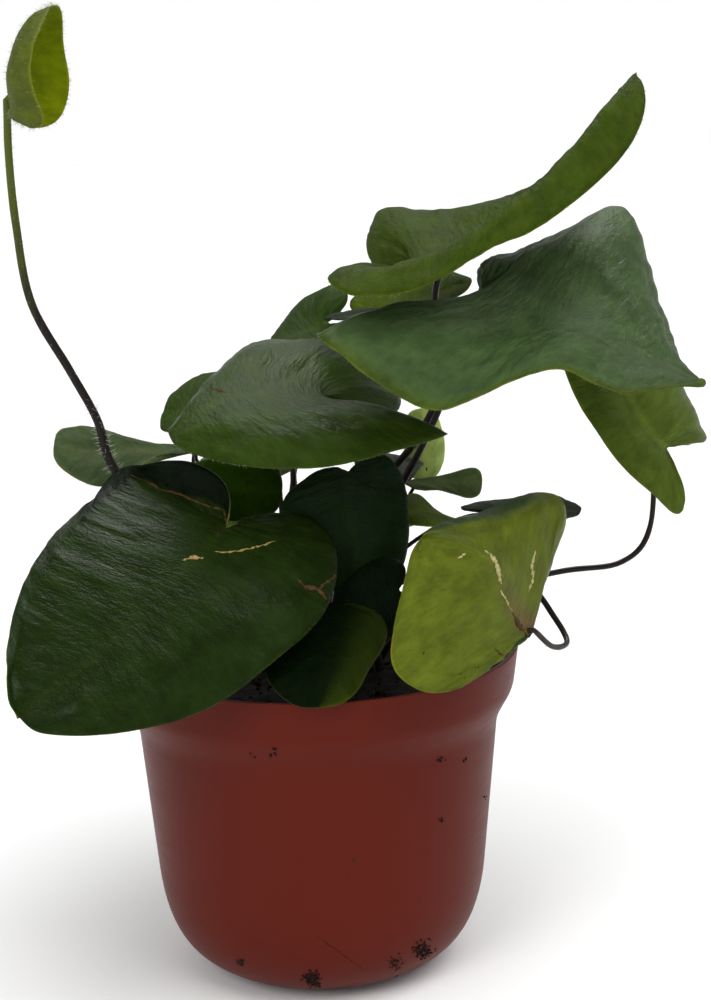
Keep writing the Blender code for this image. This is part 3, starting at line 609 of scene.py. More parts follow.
def ripple(u, v, seed):
    """Random values on whole numbers of u and v, blended between with s = f f (3 - 2 f)."""
    table = np.random.default_rng(seed).uniform(-1, 1, (RIPPLE_TABLE, RIPPLE_TABLE))
    whole_u, whole_v = np.floor(u).astype(int), np.floor(v).astype(int)
    f, g = u - whole_u, v - whole_v
    f, g = f * f * (3 - 2 * f), g * g * (3 - 2 * g)

    def corner(i, j):
        return table[(whole_u + i) % RIPPLE_TABLE, (whole_v + j) % RIPPLE_TABLE]

    near = corner(0, 0) * (1 - f) + corner(1, 0) * f
    far = corner(0, 1) * (1 - f) + corner(1, 1) * f
    return near * (1 - g) + far * g


sample = ripple(*np.meshgrid(np.arange(0, 9, 0.1), np.arange(0, 9, 0.1)), 1)
print("ripple reaches from", sample.min().round(2), "to", sample.max().round(2))

# %% Make a piece of the plant


def mesh_piece(name, places, faces, finish, slot):
    """A piece from points in mm and rows of point numbers, smooth, with its finish, riding on the root.
    What would stand out of the CAD box, such as a hair's tip, is held at its side."""
    made = new_object(name, new_mesh(name, np.clip(places * MM, *np.array(cad_box)), faces))
    made.data.shade_smooth()
    made.data.materials.append(finish)
    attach(made, "root")
    return made


def give_values(piece, name, values):
    """One number for each point of the piece, under a name that a material can read."""
    piece.data.attributes.new(name, "FLOAT", "POINT").data.foreach_set("value", values.astype(np.float32))


def give_colours(piece, name, colours):
    """One colour for each point of the piece."""
    whole = np.column_stack([colours, np.ones(len(colours))]).astype(np.float32)
    piece.data.color_attributes.new(name, "FLOAT_COLOR", "POINT").data.foreach_set("color", whole.ravel())


# %% Faces from grids of points
JOIN_WITHIN = 0.02


def split_quads(quads):
    """Two triangles for each row of four point numbers."""
    return np.concatenate([quads[:, [0, 1, 2]], quads[:, [0, 2, 3]]])


def grid_triangles(number):
    """Triangles of a grid of point numbers."""
    corners = (number[:-1, :-1], number[1:, :-1], number[1:, 1:], number[:-1, 1:])
    return split_quads(np.stack(corners, axis=-1).reshape(-1, 4))


def are_whole(triangles):
    """Which triangles have three different corners."""
    return (triangles != np.roll(triangles, 1, axis=1)).all(axis=1)


def joined_sheet(grid):
    """Triangles of a grid of points: (places, triangles, grid numbers of the triangles' corners, first
    grid number of each place). Points that fall together at the hub and tip become one."""
    triangles = grid_triangles(np.arange(grid.shape[0] * grid.shape[1]).reshape(grid.shape[:2]))
    flat = grid.reshape(-1, 3)
    rounded_places = np.round(flat / JOIN_WITHIN)
    _, first, place_of = np.unique(rounded_places, axis=0, return_index=True, return_inverse=True)
    joined = place_of.ravel()[triangles]
    whole = are_whole(joined)
    return flat[first], joined[whole], triangles[whole], first


def sheet_normals(places, triangles):
    """The mean of the normals of the triangles round each point, by their areas."""
    a, b, c = (places[triangles[:, k]] for k in range(3))
    normals = np.zeros_like(places)
    np.add.at(normals, triangles, np.cross(b - a, c - a)[:, None])
    return unit(normals)


def rim_edges(triangles):
    """The directed edges that only one triangle has."""
    edges = np.concatenate([triangles[:, [0, 1]], triangles[:, [1, 2]], triangles[:, [2, 0]]])
    many = triangles.max() + 1
    return edges[~np.isin(edges[:, 0] * many + edges[:, 1], edges[:, 1] * many + edges[:, 0])]


# %% [markdown]
# ## The finish of a blade
# The upper skin is waxy and dark, the lower one duller and yellower, and the rolled young frond is
# downy. Each point of a blade carries its colour, its distance from the margin and its distance from
# the midrib. The material reads those, so a pale hem and a pale midrib follow the blade wherever it
# bends. Fine wrinkles and a pebbly grain come from noise on the blade's own map, which is in mm and
# stretched across the blade, so that the wrinkles run from midrib to margin as the veins do.

# %% Blade materials
GRAIN_DEPTH = 0.15


def blade_finish(name, roughness, gloss, wrinkle):
    """Colour from the blade's points in lighter and darker clouds, with a pale hem and a faint midrib,
    and fine wrinkles that run across the blade, wrinkle mm deep. The colour is also painted darker in
    the hollows of the wrinkles and lighter on their crests: painted shade and light."""
    made, tree = new_finish(name)
    surface = shader_node(tree, "UVMap", {}, uv_map="blade").outputs["UV"]
    across = stretched(tree, surface, (0.62, 0.26, 1.0))
    folds = noise(tree, across, 1.0, 4.0, Roughness=0.55, Distortion=0.25)
    clouds = noise(tree, surface, 0.14, 5.0, Roughness=0.6)
    grain = noise(tree, surface, 1.8, 3.0, Roughness=0.6)
    cloud_level = spread(tree, clouds, 0.3, 0.7, 0.72, 1.28)
    # Painted shade: the colour is darker in the hollows of the wrinkle relief and lighter on its crests.
    painted_fold_shade = spread(tree, folds, 0.3, 0.7, 0.87, 1.13)
    level = combined(tree, "Math", "MULTIPLY", {0: cloud_level, 1: painted_fold_shade})
    tint = stored(tree, "tint", "Color")
    toned = combined(tree, "VectorMath", "SCALE", {0: tint, "Scale": level})
    lighter = combined(tree, "VectorMath", "MULTIPLY", {0: tint, 1: (2.4, 1.9, 1.8)})
    midrib = spread(tree, stored(tree, "rib"), 0.2, 1.8, 0.35, 0.0)
    broken = combined(tree, "Math", "MULTIPLY", {0: midrib, 1: cloud_level})
    hem = spread(tree, stored(tree, "edge"), 0.1, 0.6, 0.6, 0.0)
    pale = combined(tree, "Math", "MAXIMUM", {0: broken, 1: hem})
    polish = spread(tree, clouds, 0.3, 0.7, roughness - 0.06, roughness + 0.10)
    wrinkled = raised(tree, folds, wrinkle)
    skin = raised(tree, grain, GRAIN_DEPTH, Normal=wrinkled)
    return finished(made, two_tone(tree, pale, toned, lighter), polish, gloss, Normal=skin)


BLADE_FINISHES = {
    "waxy": blade_finish("waxy_blade", 0.26, 0.06, 0.42),
    "leathery": blade_finish("leathery_blade", 0.34, 0.045, 0.55),
    "dull": blade_finish("dull_blade", 0.5, 0.02, 0.60),
    "downy": blade_finish("downy_blade", 0.6, 0.05, 0.45),
}
print("blade finishes:", ", ".join(BLADE_FINISHES))

# %% Colours of each frond: upper skin, lower skin, finish, and how strongly it is creased
FROND_LOOKS = {
    "young": ((0.115, 0.150, 0.0003), (0.064, 0.082, 0.01), "downy", 0.5),
    "front": ((0.0076, 0.0169, 0.0015), (0.06, 0.09, 0.015), "waxy", 1.0),
    "middle": ((0.020, 0.039, 0.0036), (0.05, 0.08, 0.015), "leathery", 0.8),
    "top": ((0.030, 0.050, 0.004), (0.05, 0.08, 0.02), "dull", 0.9),
    "right": ((0.040, 0.070, 0.023), (0.06, 0.09, 0.02), "leathery", 1.2),
    # Painted shade: the near-black tints of this frond stand for deep shade inside the canopy.
    "dark": ((0.005, 0.014, 0.003), (0.008, 0.016, 0.005), "waxy", 0.8),
    # Painted shade: the near-black upper skin stands for deep shade.
    "lip": ((0.001, 0.004, 0.0003), (0.04, 0.07, 0.01), "leathery", 0.6),
    # Partly painted light: the yellow-green lower skin is its own colour, lightened for light shining through
    # it.
    "turned": ((0.02, 0.04, 0.008), (0.076, 0.098, 0.008), "leathery", 0.7),
    # Partly painted light: the yellow-green is the blade's own colour, lightened for light shining through
    # it.
    "hanging": ((0.054, 0.082, 0.009), (0.06, 0.09, 0.02), "leathery", 0.7),
    "bright": ((0.043, 0.074, 0.0002), (0.09, 0.13, 0.004), "dull", 0.6),
    # Painted shade: near black on both skins, for deep shade inside the canopy.
    "nook": ((0.006, 0.014, 0.003), (0.006, 0.014, 0.003), "dull", 0.6),
    "shoulder": ((0.02, 0.04, 0.006), (0.05, 0.08, 0.02), "dull", 0.7),
    "peeping": ((0.021, 0.042, 0.004), (0.05, 0.08, 0.02), "dull", 0.7),
    "left": ((0.041, 0.062, 0.024), (0.06, 0.09, 0.03), "downy", 0.7),
    "olive": ((0.017, 0.045, 0.0003), (0.02, 0.035, 0.003), "leathery", 0.6),
    # Painted shade: near black on both skins, for deep shade inside the canopy.
    "gap": ((0.001, 0.0045, 0.001), (0.008, 0.016, 0.005), "waxy", 0.6),
    "spoon": ((0.086, 0.13, 0.045), (0.05, 0.08, 0.03), "dull", 0.6),
    "yellow": ((0.075, 0.115, 0.0005), (0.04, 0.06, 0.004), "dull", 0.6),
    "pale": ((0.36, 0.48, 0.13), (0.12, 0.16, 0.03), "dull", 0.6),
    "tucked": ((0.020, 0.034, 0.003), (0.03, 0.05, 0.004), "leathery", 0.6),
    "slate": ((0.022, 0.034, 0.016), (0.04, 0.06, 0.02), "dull", 0.7),
}
# FLAP_SHADE is painted shade on the front blade's flap. The third colour here is partly a wax bloom and
# partly painted light, for the right blade.
FLAP_SHADE, DUSTY_GREEN, BLOOM_AND_PAINTED_LIGHT_GREEN = (0.001, 0.004, 0.0005), (0.055, 0.085, 0.050), (0.13, 0.19, 0.09)
# The last colour here is painted light on one half of the lip blade.
HEM_GREEN, STAIN_BROWN, LIP_PAINTED_LIGHT = (0.045, 0.070, 0.008), (0.10, 0.06, 0.02), (0.016, 0.026, 0.001)
# Dusty patches on the front blade: t, w, size in mm and strength.
PALE_PATCHES = ((0.86, -0.9, 5.0, 0.7), (0.93, -0.7, 4.0, 0.6), (0.9, 0.5, 3.0, 0.4), (0.75, -0.85, 3.5, 0.4))
REAR_LOOK = ((0.028, 0.054, 0.012), (0.05, 0.08, 0.02), "leathery", 0.9)
print("looks for", len(FROND_LOOKS), "fronds, and one for those behind")

# %% [markdown]
# ## The blades
# Everything comes together here: the surface, its relief, the shell and the finish. The rows of faces
# on a large blade are about half a millimetre apart, or its creases would turn to steps.

# %% Relief and colour of a blade
LARGE_FINENESS, SMALL_FINENESS = (150, 20), (72, 12)
BLADE_WALL, HEM_WALL, HEM_REACH, NO_RIB = 0.5, 0.26, 2.0, 9.0
# Share of a half over which the midrib's fold is rounded.
USUAL_KEEL = 0.4
KEELED = {"turned": 0.15, "hanging": 0.1, "young": 0.25, "dark": 0.2}


def blade_relief(t, w, length, width, creases, seed):
    """Height in mm: fine creases 1.3 and 2.9 mm apart that run to the margin, puckers 5 mm apart, and a
    wavy hem."""
    reach = np.abs(w)
    u, v = t * length, w * width
    veins = ripple(u / 1.3, v / 7.0, seed) * 0.13 + ripple(u / 2.9, v / 12.0, seed + 1) * 0.22
    puckers = ripple(u / 5.0, v / 5.0, seed + 2) * 0.30
    hem = ripple(u / 8.0, np.sign(w) * 3.5, seed + 3) * 0.35 * reach**5
    ends = np.clip(np.minimum(t / 0.06, (1 - t) / 0.10), 0, 1)
    return (veins * creases * np.minimum(reach * 2.2, 1) + puckers * np.minimum(reach * 3, 1) + hem) * ends


def blend(colours, other, share):
    """Colours moved towards another one, point by point."""
    share = np.clip(share, 0, 1)[:, None]
    return colours * (1 - share) + np.array(other) * share


def blade_tints(name, t, w, upper_tint, lower_tint):
    """Upper and lower colour at each point: the plain tints, and what is special on four fronds, among
    it painted shade on a flap of the front blade and painted light on the right and lip blades.
    """
    upper, lower = np.tile(upper_tint, (len(t), 1)), np.tile(lower_tint, (len(t), 1))
    if name == "front":
        # Painted shade: the flap beyond the crease on the front blade is near black.
        upper = blend(upper, FLAP_SHADE, (-w - 0.62) / 0.08 * (t < 0.5))
        for mark_t, mark_w, size, strength in PALE_PATCHES:
            far = np.hypot((t - mark_t) * 90, (w - mark_w) * 30) / size
            cloud = ripple(t * 150, w * 40, 77) * 0.5 + 0.7
            upper = blend(upper, DUSTY_GREEN, strength * (1 - far) * cloud)
    if name == "right":
        # Painted light on the right blade: a pale bluish patch in the middle, partly wax bloom and partly
        # painted sheen, and its shaded upper lobe painted lighter.
        lobe = np.clip((w - 0.25) / 0.3, 0, 1) * np.clip((0.6 - t) / 0.15, 0, 1)
        upper = blend(upper, BLOOM_AND_PAINTED_LIGHT_GREEN, 0.8 - np.hypot((t - 0.38) / 0.2, (w + 0.1) / 0.7))
        upper = blend(upper, BLOOM_AND_PAINTED_LIGHT_GREEN, 0.7 * lobe)
        upper = blend(upper, HEM_GREEN, (-w - 0.93) / 0.05)
    if name == "turned":
        lower = blend(lower, upper_tint, (w - 0.78) / 0.08 * np.clip((t - 0.5) / 0.08, 0, 1))
        lower = blend(lower, STAIN_BROWN, np.clip((0.12 - np.abs(w)) / 0.08, 0, 1) * (0.7 - t) * 3)
    if name == "lip":
        # Painted light: over one half the lip blade turns from its near-black painted shade to a lighter
        # green.
        upper = blend(upper, LIP_PAINTED_LIGHT, (w - 0.1) / 0.8)
    return upper, lower


# %% Build one blade


def build_blade(name, seed):
    """A closed shell: the sheet raised by its relief, then half a wall's thickness to either side."""
    rows, half_columns = LARGE_FINENESS if name in LARGE_FRONDS else SMALL_FINENESS
    columns = 2 * half_columns + 1
    grid = soften_midrib(blade_surface(name, rows, half_columns), KEELED.get(name, USUAL_KEEL))
    upper_tint, lower_tint, finish, creases = FROND_LOOKS.get(name, REAR_LOOK)
    places, triangles, corners, first = joined_sheet(grid)
    row = first // columns
    t, w = row / rows, (first % columns) / half_columns - 1
    length = step_lengths(grid[:, -1]).sum()
    width = np.linalg.norm(grid[:, -1] - grid[:, half_columns], axis=1).max()
    relief = blade_relief(t, w, length, width, creases, seed)
    places = places + sheet_normals(places, triangles) * relief[:, None]
    normals = sheet_normals(places, triangles)

    margin = np.where(w[:, None] > 0, grid[row, -1], grid[row, 0])
    edge = np.where((t < 0.01) | (t > 0.99), 0.0, np.linalg.norm(places - margin, axis=1))
    rib = np.linalg.norm(places[:, None] - frond_lines(name)[0][None, ::4], axis=2).min(axis=1)
    half_wall = (HEM_WALL + (BLADE_WALL - HEM_WALL) * np.clip(edge / HEM_REACH, 0, 1))[:, None] / 2
    shell = np.concatenate([places + normals * half_wall, places - normals * half_wall])
    many, rim = len(places), rim_edges(triangles)
    walls = split_quads(np.column_stack([rim[:, 1], rim[:, 0], rim[:, 0] + many, rim[:, 1] + many]))
    faces = np.concatenate([triangles, triangles[:, ::-1] + many, walls])

    blade = mesh_piece("leaf_" + name, shell, faces, BLADE_FINISHES[finish], "blade_" + name)
    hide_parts("blade_" + name)
    give_colours(blade, "tint", np.concatenate(blade_tints(name, t, w, upper_tint, lower_tint)))
    give_values(blade, "rib", np.concatenate([rib, np.full(many, NO_RIB)]))
    give_values(blade, "edge", np.concatenate([edge, edge]))
    flat = np.column_stack([t * length, w * width])
    by_corner = np.stack([
        corners // columns / rows * length, (corners % columns / half_columns - 1) * width], axis=-1)
    loops = np.concatenate([by_corner, by_corner[:, ::-1], flat[walls % many]])
    blade.data.uv_layers.new(name="blade").data.foreach_set("uv", loops.astype(np.float32).ravel())
    return blade, places, normals


# %% Build all blades
blades = {name: build_blade(name, 10 * index) for index, name in enumerate(FRONDS)}
print("triangles in the blades:", sum(len(made.data.polygons) for made, _, _ in blades.values()))

# %% [markdown]
# ## The stalks
# A stipe is a wiry stalk, almost black and shiny on old fronds, still green at the top on the young
# one. It could be a curve with a bevel. A profile carried along a path does the same, and the same
# function then makes the scars and the curl too: a ring of points is set square to the path at each
# step.

# %% A tube along a path


def tube(path, radii, sides, flatness=1.0, level=(0.0, 0.0, 1.0)):
    """Rings r (cos a, flatness sin a) in the two directions square to the path, with a point at each
    end: (places, triangles). The first direction is square to level too."""
    path, radii = np.asarray(path, float), np.asarray(radii, float)
    heading = unit(np.gradient(path, axis=0))
    first = unit(np.cross(heading, np.broadcast_to(np.asarray(level, float), path.shape)))
    second = np.cross(first, heading)
    a = np.linspace(0, 2 * np.pi, sides, endpoint=False)
    ring = first[:, None] * np.cos(a)[:, None] + second[:, None] * (flatness * np.sin(a))[:, None]
    places = (path[:, None] + ring * radii[:, None, None]).reshape(-1, 3)
    number = np.arange(len(places)).reshape(len(path), sides)
    closed = np.column_stack([number, number[:, 0]])
    start, end = (np.full(sides, len(places) + k) for k in range(2))
    bottom = np.column_stack([start, closed[0, :-1], closed[0, 1:]])
    top = np.column_stack([end, closed[-1, 1:], closed[-1, :-1]])
    return np.vstack([places, path[0], path[-1]]), np.concatenate([grid_triangles(closed), bottom, top])


def together(parts):
    """Several (places, faces) as one."""
    counts = np.cumsum([0] + [len(places) for places, _ in parts])
    faces = [faces + count for (_, faces), count in zip(parts, counts)]
    return np.vstack([places for places, _ in parts]), np.concatenate(faces)


# %% Where each stalk runs
# Radius at the foot, where the foot stands, and the bends above it, in mm.
STIPES = {
    "young": (0.9, (-10, -1), (
        (-13, 0, 73), (-31, -4, 99), (-43, -1, 114), (-46, -2, 125), (-51, -4, 136),
        (-58, -7, 151), (-60, -9, 168), (-60.4, -10.5, 182))),
    "front": (0.8, (-5, -6), ((-7, -9, 81), (-14, -17, 95))),
    "middle": (0.8, (-2, -9), ((-3, -7, 80), (-4, -4, 100), (-4, -5, 116))),
    "top": (1.0, (14, -1), ((10, 8, 94), (15, 13, 105), (24, 10, 117), (29, 6, 130), (28, 4, 148))),
    "right": (0.9, (6, -1), ((6, 4, 76), (15, 12, 96), (25, 7, 116), (30, 3, 128), (35, 0, 142))),
    "lip": (0.8, (2, -7), ((2, -11, 73), (3, -20, 76), (4, -27, 81))),
    "turned": (0.8, (9, -4), (
        (19, -4, 80), (38, -5, 87), (47, -6, 86), (52, -10, 80), (54, -16, 76), (50, -23, 77))),
    "hanging": (0.8, (14, 4), ((20, 4, 74), (38, 4, 83), (56, 7, 86), (70, 10, 87), (77, 13, 94))),
    "bright": (0.8, (2, 8), ((8, 14, 94), (20, 36, 131))),
    "nook": (0.6, (9, 9), ((13, 15, 77), (13, 33, 109), (16, 31, 125))),
    "shoulder": (0.8, (-1, 11), ((-3, 17, 88), (-4, 28, 115), (1, 40, 128))),
    "peeping": (0.6, (-7, 11), ((-10, 12, 75), (-26, 26, 105), (-27, 31, 113))),
    "left": (0.6, (-10, 6), ((-16, 8, 93), (-22, 11, 106))),
    "olive": (0.8, (-12, 2), ((-15, 3, 91), (-21, 4, 104))),
    "dark": (0.8, (6, -6), ((7, -5, 80), (8, -6, 97))),
    "gap": (0.6, (5, -10), ((8, -13, 73), (12, -18, 79))),
    "spoon": (0.6, (9, 13), ((10, 14, 75), (14, 18, 87), (20, 26, 96))),
    "yellow": (0.6, (10, 0), ((10, 0, 78), (18, 3, 91))),
    "pale": (0.6, (6, 15), ((4, 22, 88), (8, 28, 98), (20, 46, 101))),
    "tucked": (0.6, (6, 11), ((7, 15, 84), (10, 20, 98))),
    "slate": (0.6, (13, 8), ((18, 10, 75), (26, 11, 84), (36, 17, 89))),
    "rear_a": (0.8, (-5, 15), ((-6, 22, 85), (-7, 27, 95))),
    "rear_b": (0.8, (-1, 16), ((-4, 21, 74), (-5, 55, 97))),
    "rear_c": (0.6, (-6, 7), ((-13, 11, 79), (-31, 23, 92))),
    "rear_d": (0.8, (2, 13), ((3, 21, 75), (9, 33, 86))),
    "rear_e": (0.6, (6, 7), ((10, 10, 75), (20, 20, 81))),
}
FOOT_HEIGHT, UPRIGHT, TAPER = 62.0, 5.0, 0.72
SEAT_AHEAD, SEAT_DEPTH, SEAT_END = 1.8, 0.4, 1.2
# How far in mm under the blade the last bend is.
USUAL_SEAT_UNDER = 1.5
SEAT_UNDER = {"young": 0.5}


def stalk_path(name, fineness):
    """Straight up out of the peat, a smooth curve through the bends, and into the blade at its hub."""
    _, foot, bends = STIPES[name]
    midrib, left, right_side, _ = frond_lines(name)
    hub = midrib[0]
    leading = unit(midrib[len(midrib) // 8] - hub)
    normal = unit(np.cross(leading, left[len(left) // 8] - right_side[len(right_side) // 8]))
    seat = hub + leading * SEAT_AHEAD
    low = np.array([*foot, FOOT_HEIGHT])
    last = seat - normal * SEAT_UNDER.get(name, USUAL_SEAT_UNDER)
    samples = smooth_curve((low, low + np.array([0, 0, UPRIGHT]), *bends, last), 16)
    path = resample(samples, np.linspace(0, 1, fineness))
    return np.vstack([path, seat - normal * SEAT_DEPTH, hub + leading * (SEAT_AHEAD + SEAT_END)])


# %% Stalk material


def stalk_finish(name, low_colour, high_colour, roughness):
    """Brown below to green above along the stalk, streaked lengthwise and a little rough."""
    made, tree = new_finish(name)
    streaks = noise(tree, stretched(tree, on_object(tree), (1.0, 1.0, 0.18)), 1400.0, 3.0)
    height = combined(tree, "Math", "MULTIPLY_ADD", {0: streaks, 1: 0.16, 2: stored(tree, "along")})
    colour = two_tone(tree, spread(tree, height, 0.74, 0.94), low_colour, high_colour)
    return finished(made, colour, roughness, 0.15, Normal=raised(tree, streaks, 0.1))


YOUNG_STALK = stalk_finish("young_stalk", (0.010, 0.007, 0.006), (0.060, 0.078, 0.008), 0.5)
OLD_STALK = stalk_finish("old_stalk", (0.010, 0.007, 0.005), (0.018, 0.011, 0.008), 0.35)

# %% Build all stalks
STALK_SIDES, LONG_FINENESS, USUAL_FINENESS = 12, 90, 48
LONG_STALKS = ("young", "top", "turned", "hanging")
# A direction that no stalk runs along, so that the rings of one never twist against each other.
STALK_SIDE = (-0.46, 0.82, -0.35)
# The young stalk is thicker by its coat of down, in mm.
STALK_FUR = {"young": 0.15}
LAST_RADII = (1.15, 0.3)
stalk_runs = {}
for name in FRONDS:
    radius = STIPES[name][0]
    path = stalk_path(name, LONG_FINENESS if name in LONG_STALKS else USUAL_FINENESS)
    share = np.linspace(0, 1, len(path))
    knots = 1 + 0.05 * ripple(share * 40, np.full(len(share), 3.5), len(path) + round(10 * radius))
    radii = radius * (1 + (TAPER - 1) * share) * knots + STALK_FUR.get(name, 0.0)
    radii[-2:] *= LAST_RADII
    places, triangles = tube(path, radii, STALK_SIDES, level=STALK_SIDE)
    finish = YOUNG_STALK if name == "young" else OLD_STALK
    stalk = mesh_piece("stalk_" + name, places, triangles, finish, "stipe_" + name)
    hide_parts("stipe_" + name)
    give_values(stalk, "along", np.append(np.repeat(share, STALK_SIDES), [0, 1]))
    stalk_runs[name] = (path, radii)
print("stalks:", len(stalk_runs))

# %% [markdown]
# ## Hairs
# The young stalk bristles with white hairs, the rolled blade is downy outside, and most margins carry
# a fringe of very short hairs. A particle system would do it, but the export needs plain meshes. A
# hair is a three-sided spike with one bend: seven points and ten faces, worked out for all at once.

# %% Spikes, all at once
SPIKE_FACES = np.array([
    (0, 2, 1), (0, 1, 4), (0, 4, 3), (1, 2, 5), (1, 5, 4), (2, 0, 3), (2, 3, 5), (3, 4, 6), (4, 5, 6),
    (5, 3, 6)])
HAIR_RADIUS, THIN_HAIR_RADIUS = 0.05, 0.04


def many_of(faces, points_each, many):
    """The faces of many equal shapes, one after another."""
    return (faces[None] + points_each * np.arange(many)[:, None, None]).reshape(-1, 3)


def spikes(roots, directions, lengths, radius, bend, seed):
    """Base triangle, middle triangle and tip for each root. The tip is moved aside by bend x length."""
    chance = np.random.default_rng(seed)
    heading = unit(directions)
    aside = unit(np.cross(heading, chance.normal(size=roots.shape)))
    other = np.cross(heading, aside)
    a = np.arange(3)[:, None] * 2 * np.pi / 3
    ring = (aside[:, None] * np.cos(a) + other[:, None] * np.sin(a)) * radius
    start, long = roots[:, None], lengths[:, None, None]
    along, sway = heading[:, None] * long, aside[:, None] * long * bend
    parts = (start + ring, start + along * 0.5 + sway * 0.3 + ring * 0.6, start + along + sway)
    return np.concatenate(parts, axis=1).reshape(-1, 3), many_of(SPIKE_FACES, 7, len(roots))


def stalk_hairs(name, many, lengths, seed, span=(0.0, 1.0)):
    """Spikes that stand out from a stalk at random heights and angles."""
    chance = np.random.default_rng(seed)
    path, radii = stalk_runs[name]
    numbers = np.arange(len(path))
    share = chance.uniform(*span, many) * (len(path) - 4)
    at = np.stack([np.interp(share, numbers, axis) for axis in path.T], axis=1)
    heading = np.gradient(path, axis=0)[share.astype(int)]
    out = unit(np.cross(heading, chance.normal(size=(many, 3))))
    rise = unit(heading) * chance.uniform(-0.2, 0.5, (many, 1))
    roots = at + out * np.interp(share, numbers, radii)[:, None] * 0.9
    return spikes(roots, out + rise, chance.uniform(*lengths, many), HAIR_RADIUS, 0.25, seed)


# %% Hair material


def hair_finish(name, colour):
    """Pale and dull, a little darker in places."""
    made, tree = new_finish(name)
    level = spread(tree, noise(tree, on_object(tree), 300.0), 0.0, 1.0, 0.7, 1.3)
    return finished(made, combined(tree, "VectorMath", "SCALE", {0: colour, "Scale": level}), 0.6, 0.5)


WHITE_HAIR = hair_finish("white_hair", (0.42, 0.42, 0.36))
GREEN_HAIR = hair_finish("green_hair", (0.20, 0.26, 0.12))
BROWN_HAIR = hair_finish("brown_hair", (0.10, 0.06, 0.035))

# %% Hairs on the stalks
hairs = together([stalk_hairs("young", 340, (1.0, 2.4), 1, (0.2, 0.55)),
                  stalk_hairs("young", 200, (0.3, 0.9), 2, (0.5, 1.0))])
mesh_piece("hairs_young_stalk", *hairs, WHITE_HAIR, "stipe_young")
others = [name for name in FRONDS if name != "young"]
hairs = together([stalk_hairs(name, 60, (0.4, 1.1), 30 + index) for index, name in enumerate(others)])
mesh_piece("hairs_old_stalks", *hairs, BROWN_HAIR, "stipe_front")
print("hair triangles on the old stalks:", len(hairs[1]))

# %% Fringe and down


def fringe(name, many, lengths, seed, below=0.4):
    """Spikes along both margins, pointing away from the blade and a little downwards."""
    chance = np.random.default_rng(seed)
    rows = LARGE_FINENESS[0] if name in LARGE_FRONDS else SMALL_FINENESS[0]
    grid = blade_surface(name, rows, 3)
    t = chance.integers(2, rows - 1, many)
    on_left = (chance.random(many) < 0.5)[:, None]
    root = np.where(on_left, grid[t, -1], grid[t, 0])
    along = np.where(on_left, grid[t + 1, -1], grid[t + 1, 0]) - root
    out = unit(root - np.where(on_left, grid[t, -2], grid[t, 1]))
    normal = unit(np.cross(along, out) * np.where(on_left, 1, -1))
    heading = out - normal * chance.uniform(0, below, (many, 1)) + chance.normal(0, 0.25, (many, 3))
    root = root + along * chance.random((many, 1)) - out * 0.15
    return spikes(root, heading, chance.uniform(*lengths, many), THIN_HAIR_RADIUS, 0.2, seed)


def down(name, many, lengths, seed):
    """Spikes on the lower skin of a blade, leaning over it."""
    chance = np.random.default_rng(seed)
    _, places, normals = blades[name]
    pick = chance.integers(0, len(places), many)
    heading = chance.normal(0, 0.45, (many, 3)) - normals[pick]
    roots = places[pick] - normals[pick] * 0.1 + chance.normal(0, 0.2, (many, 3))
    return spikes(roots, heading, chance.uniform(*lengths, many), THIN_HAIR_RADIUS, 0.4, seed)


coat = together([down("young", 900, (0.5, 1.3), 5), fringe("young", 260, (0.5, 1.3), 6)])
mesh_piece("down_young", *coat, GREEN_HAIR, "blade_young")
fringed = [fringe(name, 420, (0.3, 0.9), 70 + index) for index, name in enumerate(("middle", "top", "right"))]
fringed.append(fringe("left", 150, (0.4, 1.0), 80))
mesh_piece("fringe_blades", *together(fringed), GREEN_HAIR, "blade_middle")
print("hairs on the margins:", sum(len(faces) for _, faces in fringed) // len(SPIKE_FACES))

# %% [markdown]
# ## The pot
# A nursery pot is thin injection-moulded polypropylene: a collar that steps out with a chamfer, a
# body that narrows, a rounded foot. Every corner has a small radius, which catches a line of light.
# A lathe would do it, so the profile is a list of corners, each rounded by a short curve, and the
# profile is turned about the axis as one grid of points.

# %% A profile with rounded corners, turned about the axis
LEAST_STEP = 0.01


def rounded(corners, radii, steps):
    """Each corner C is replaced by (1 - s)^2 A + 2 s (1 - s) C + s^2 B, with A and B a radius away, or
    half way to the next corner where that is nearer."""
    corners = np.asarray(corners, float)
    line = [corners[:1]]
    s = np.linspace(0, 1, steps + 1)[:, None]
    for before, corner, after, radius in zip(corners[:-2], corners[1:-1], corners[2:], radii):
        ways = (before - corner, after - corner)
        a, b = (corner + unit(way) * min(radius, np.linalg.norm(way) / 2) for way in ways)
        line.append((1 - s) ** 2 * a + 2 * s * (1 - s) * corner + s**2 * b)
    line = np.vstack([*line, corners[-1:]])
    return line[np.append(True, step_lengths(line) > LEAST_STEP)]


def turned_shape(profile, steps):
    """Points (r cos a, r sin a, z) for a profile of (r, z) rows, and its triangles, with a point where
    the profile touches the axis."""
    a = (np.arange(steps) + 0.5) * 2 * np.pi / steps
    r, z = profile[:, :1], np.broadcast_to(profile[:, 1:], (len(profile), steps))
    places = np.stack([r * np.cos(a), r * np.sin(a), z], axis=-1).reshape(-1, 3)
    number = np.arange(len(places)).reshape(len(profile), steps)
    on_axis = profile[:, 0] < 1e-6
    number[on_axis] = number[on_axis][:, :1]
    triangles = grid_triangles(np.column_stack([number, number[:, 0]]))[:, ::-1]
    used, triangles = np.unique(triangles[are_whole(triangles)], return_inverse=True)
    return places[used], triangles.reshape(-1, 3)


# %% Pot material


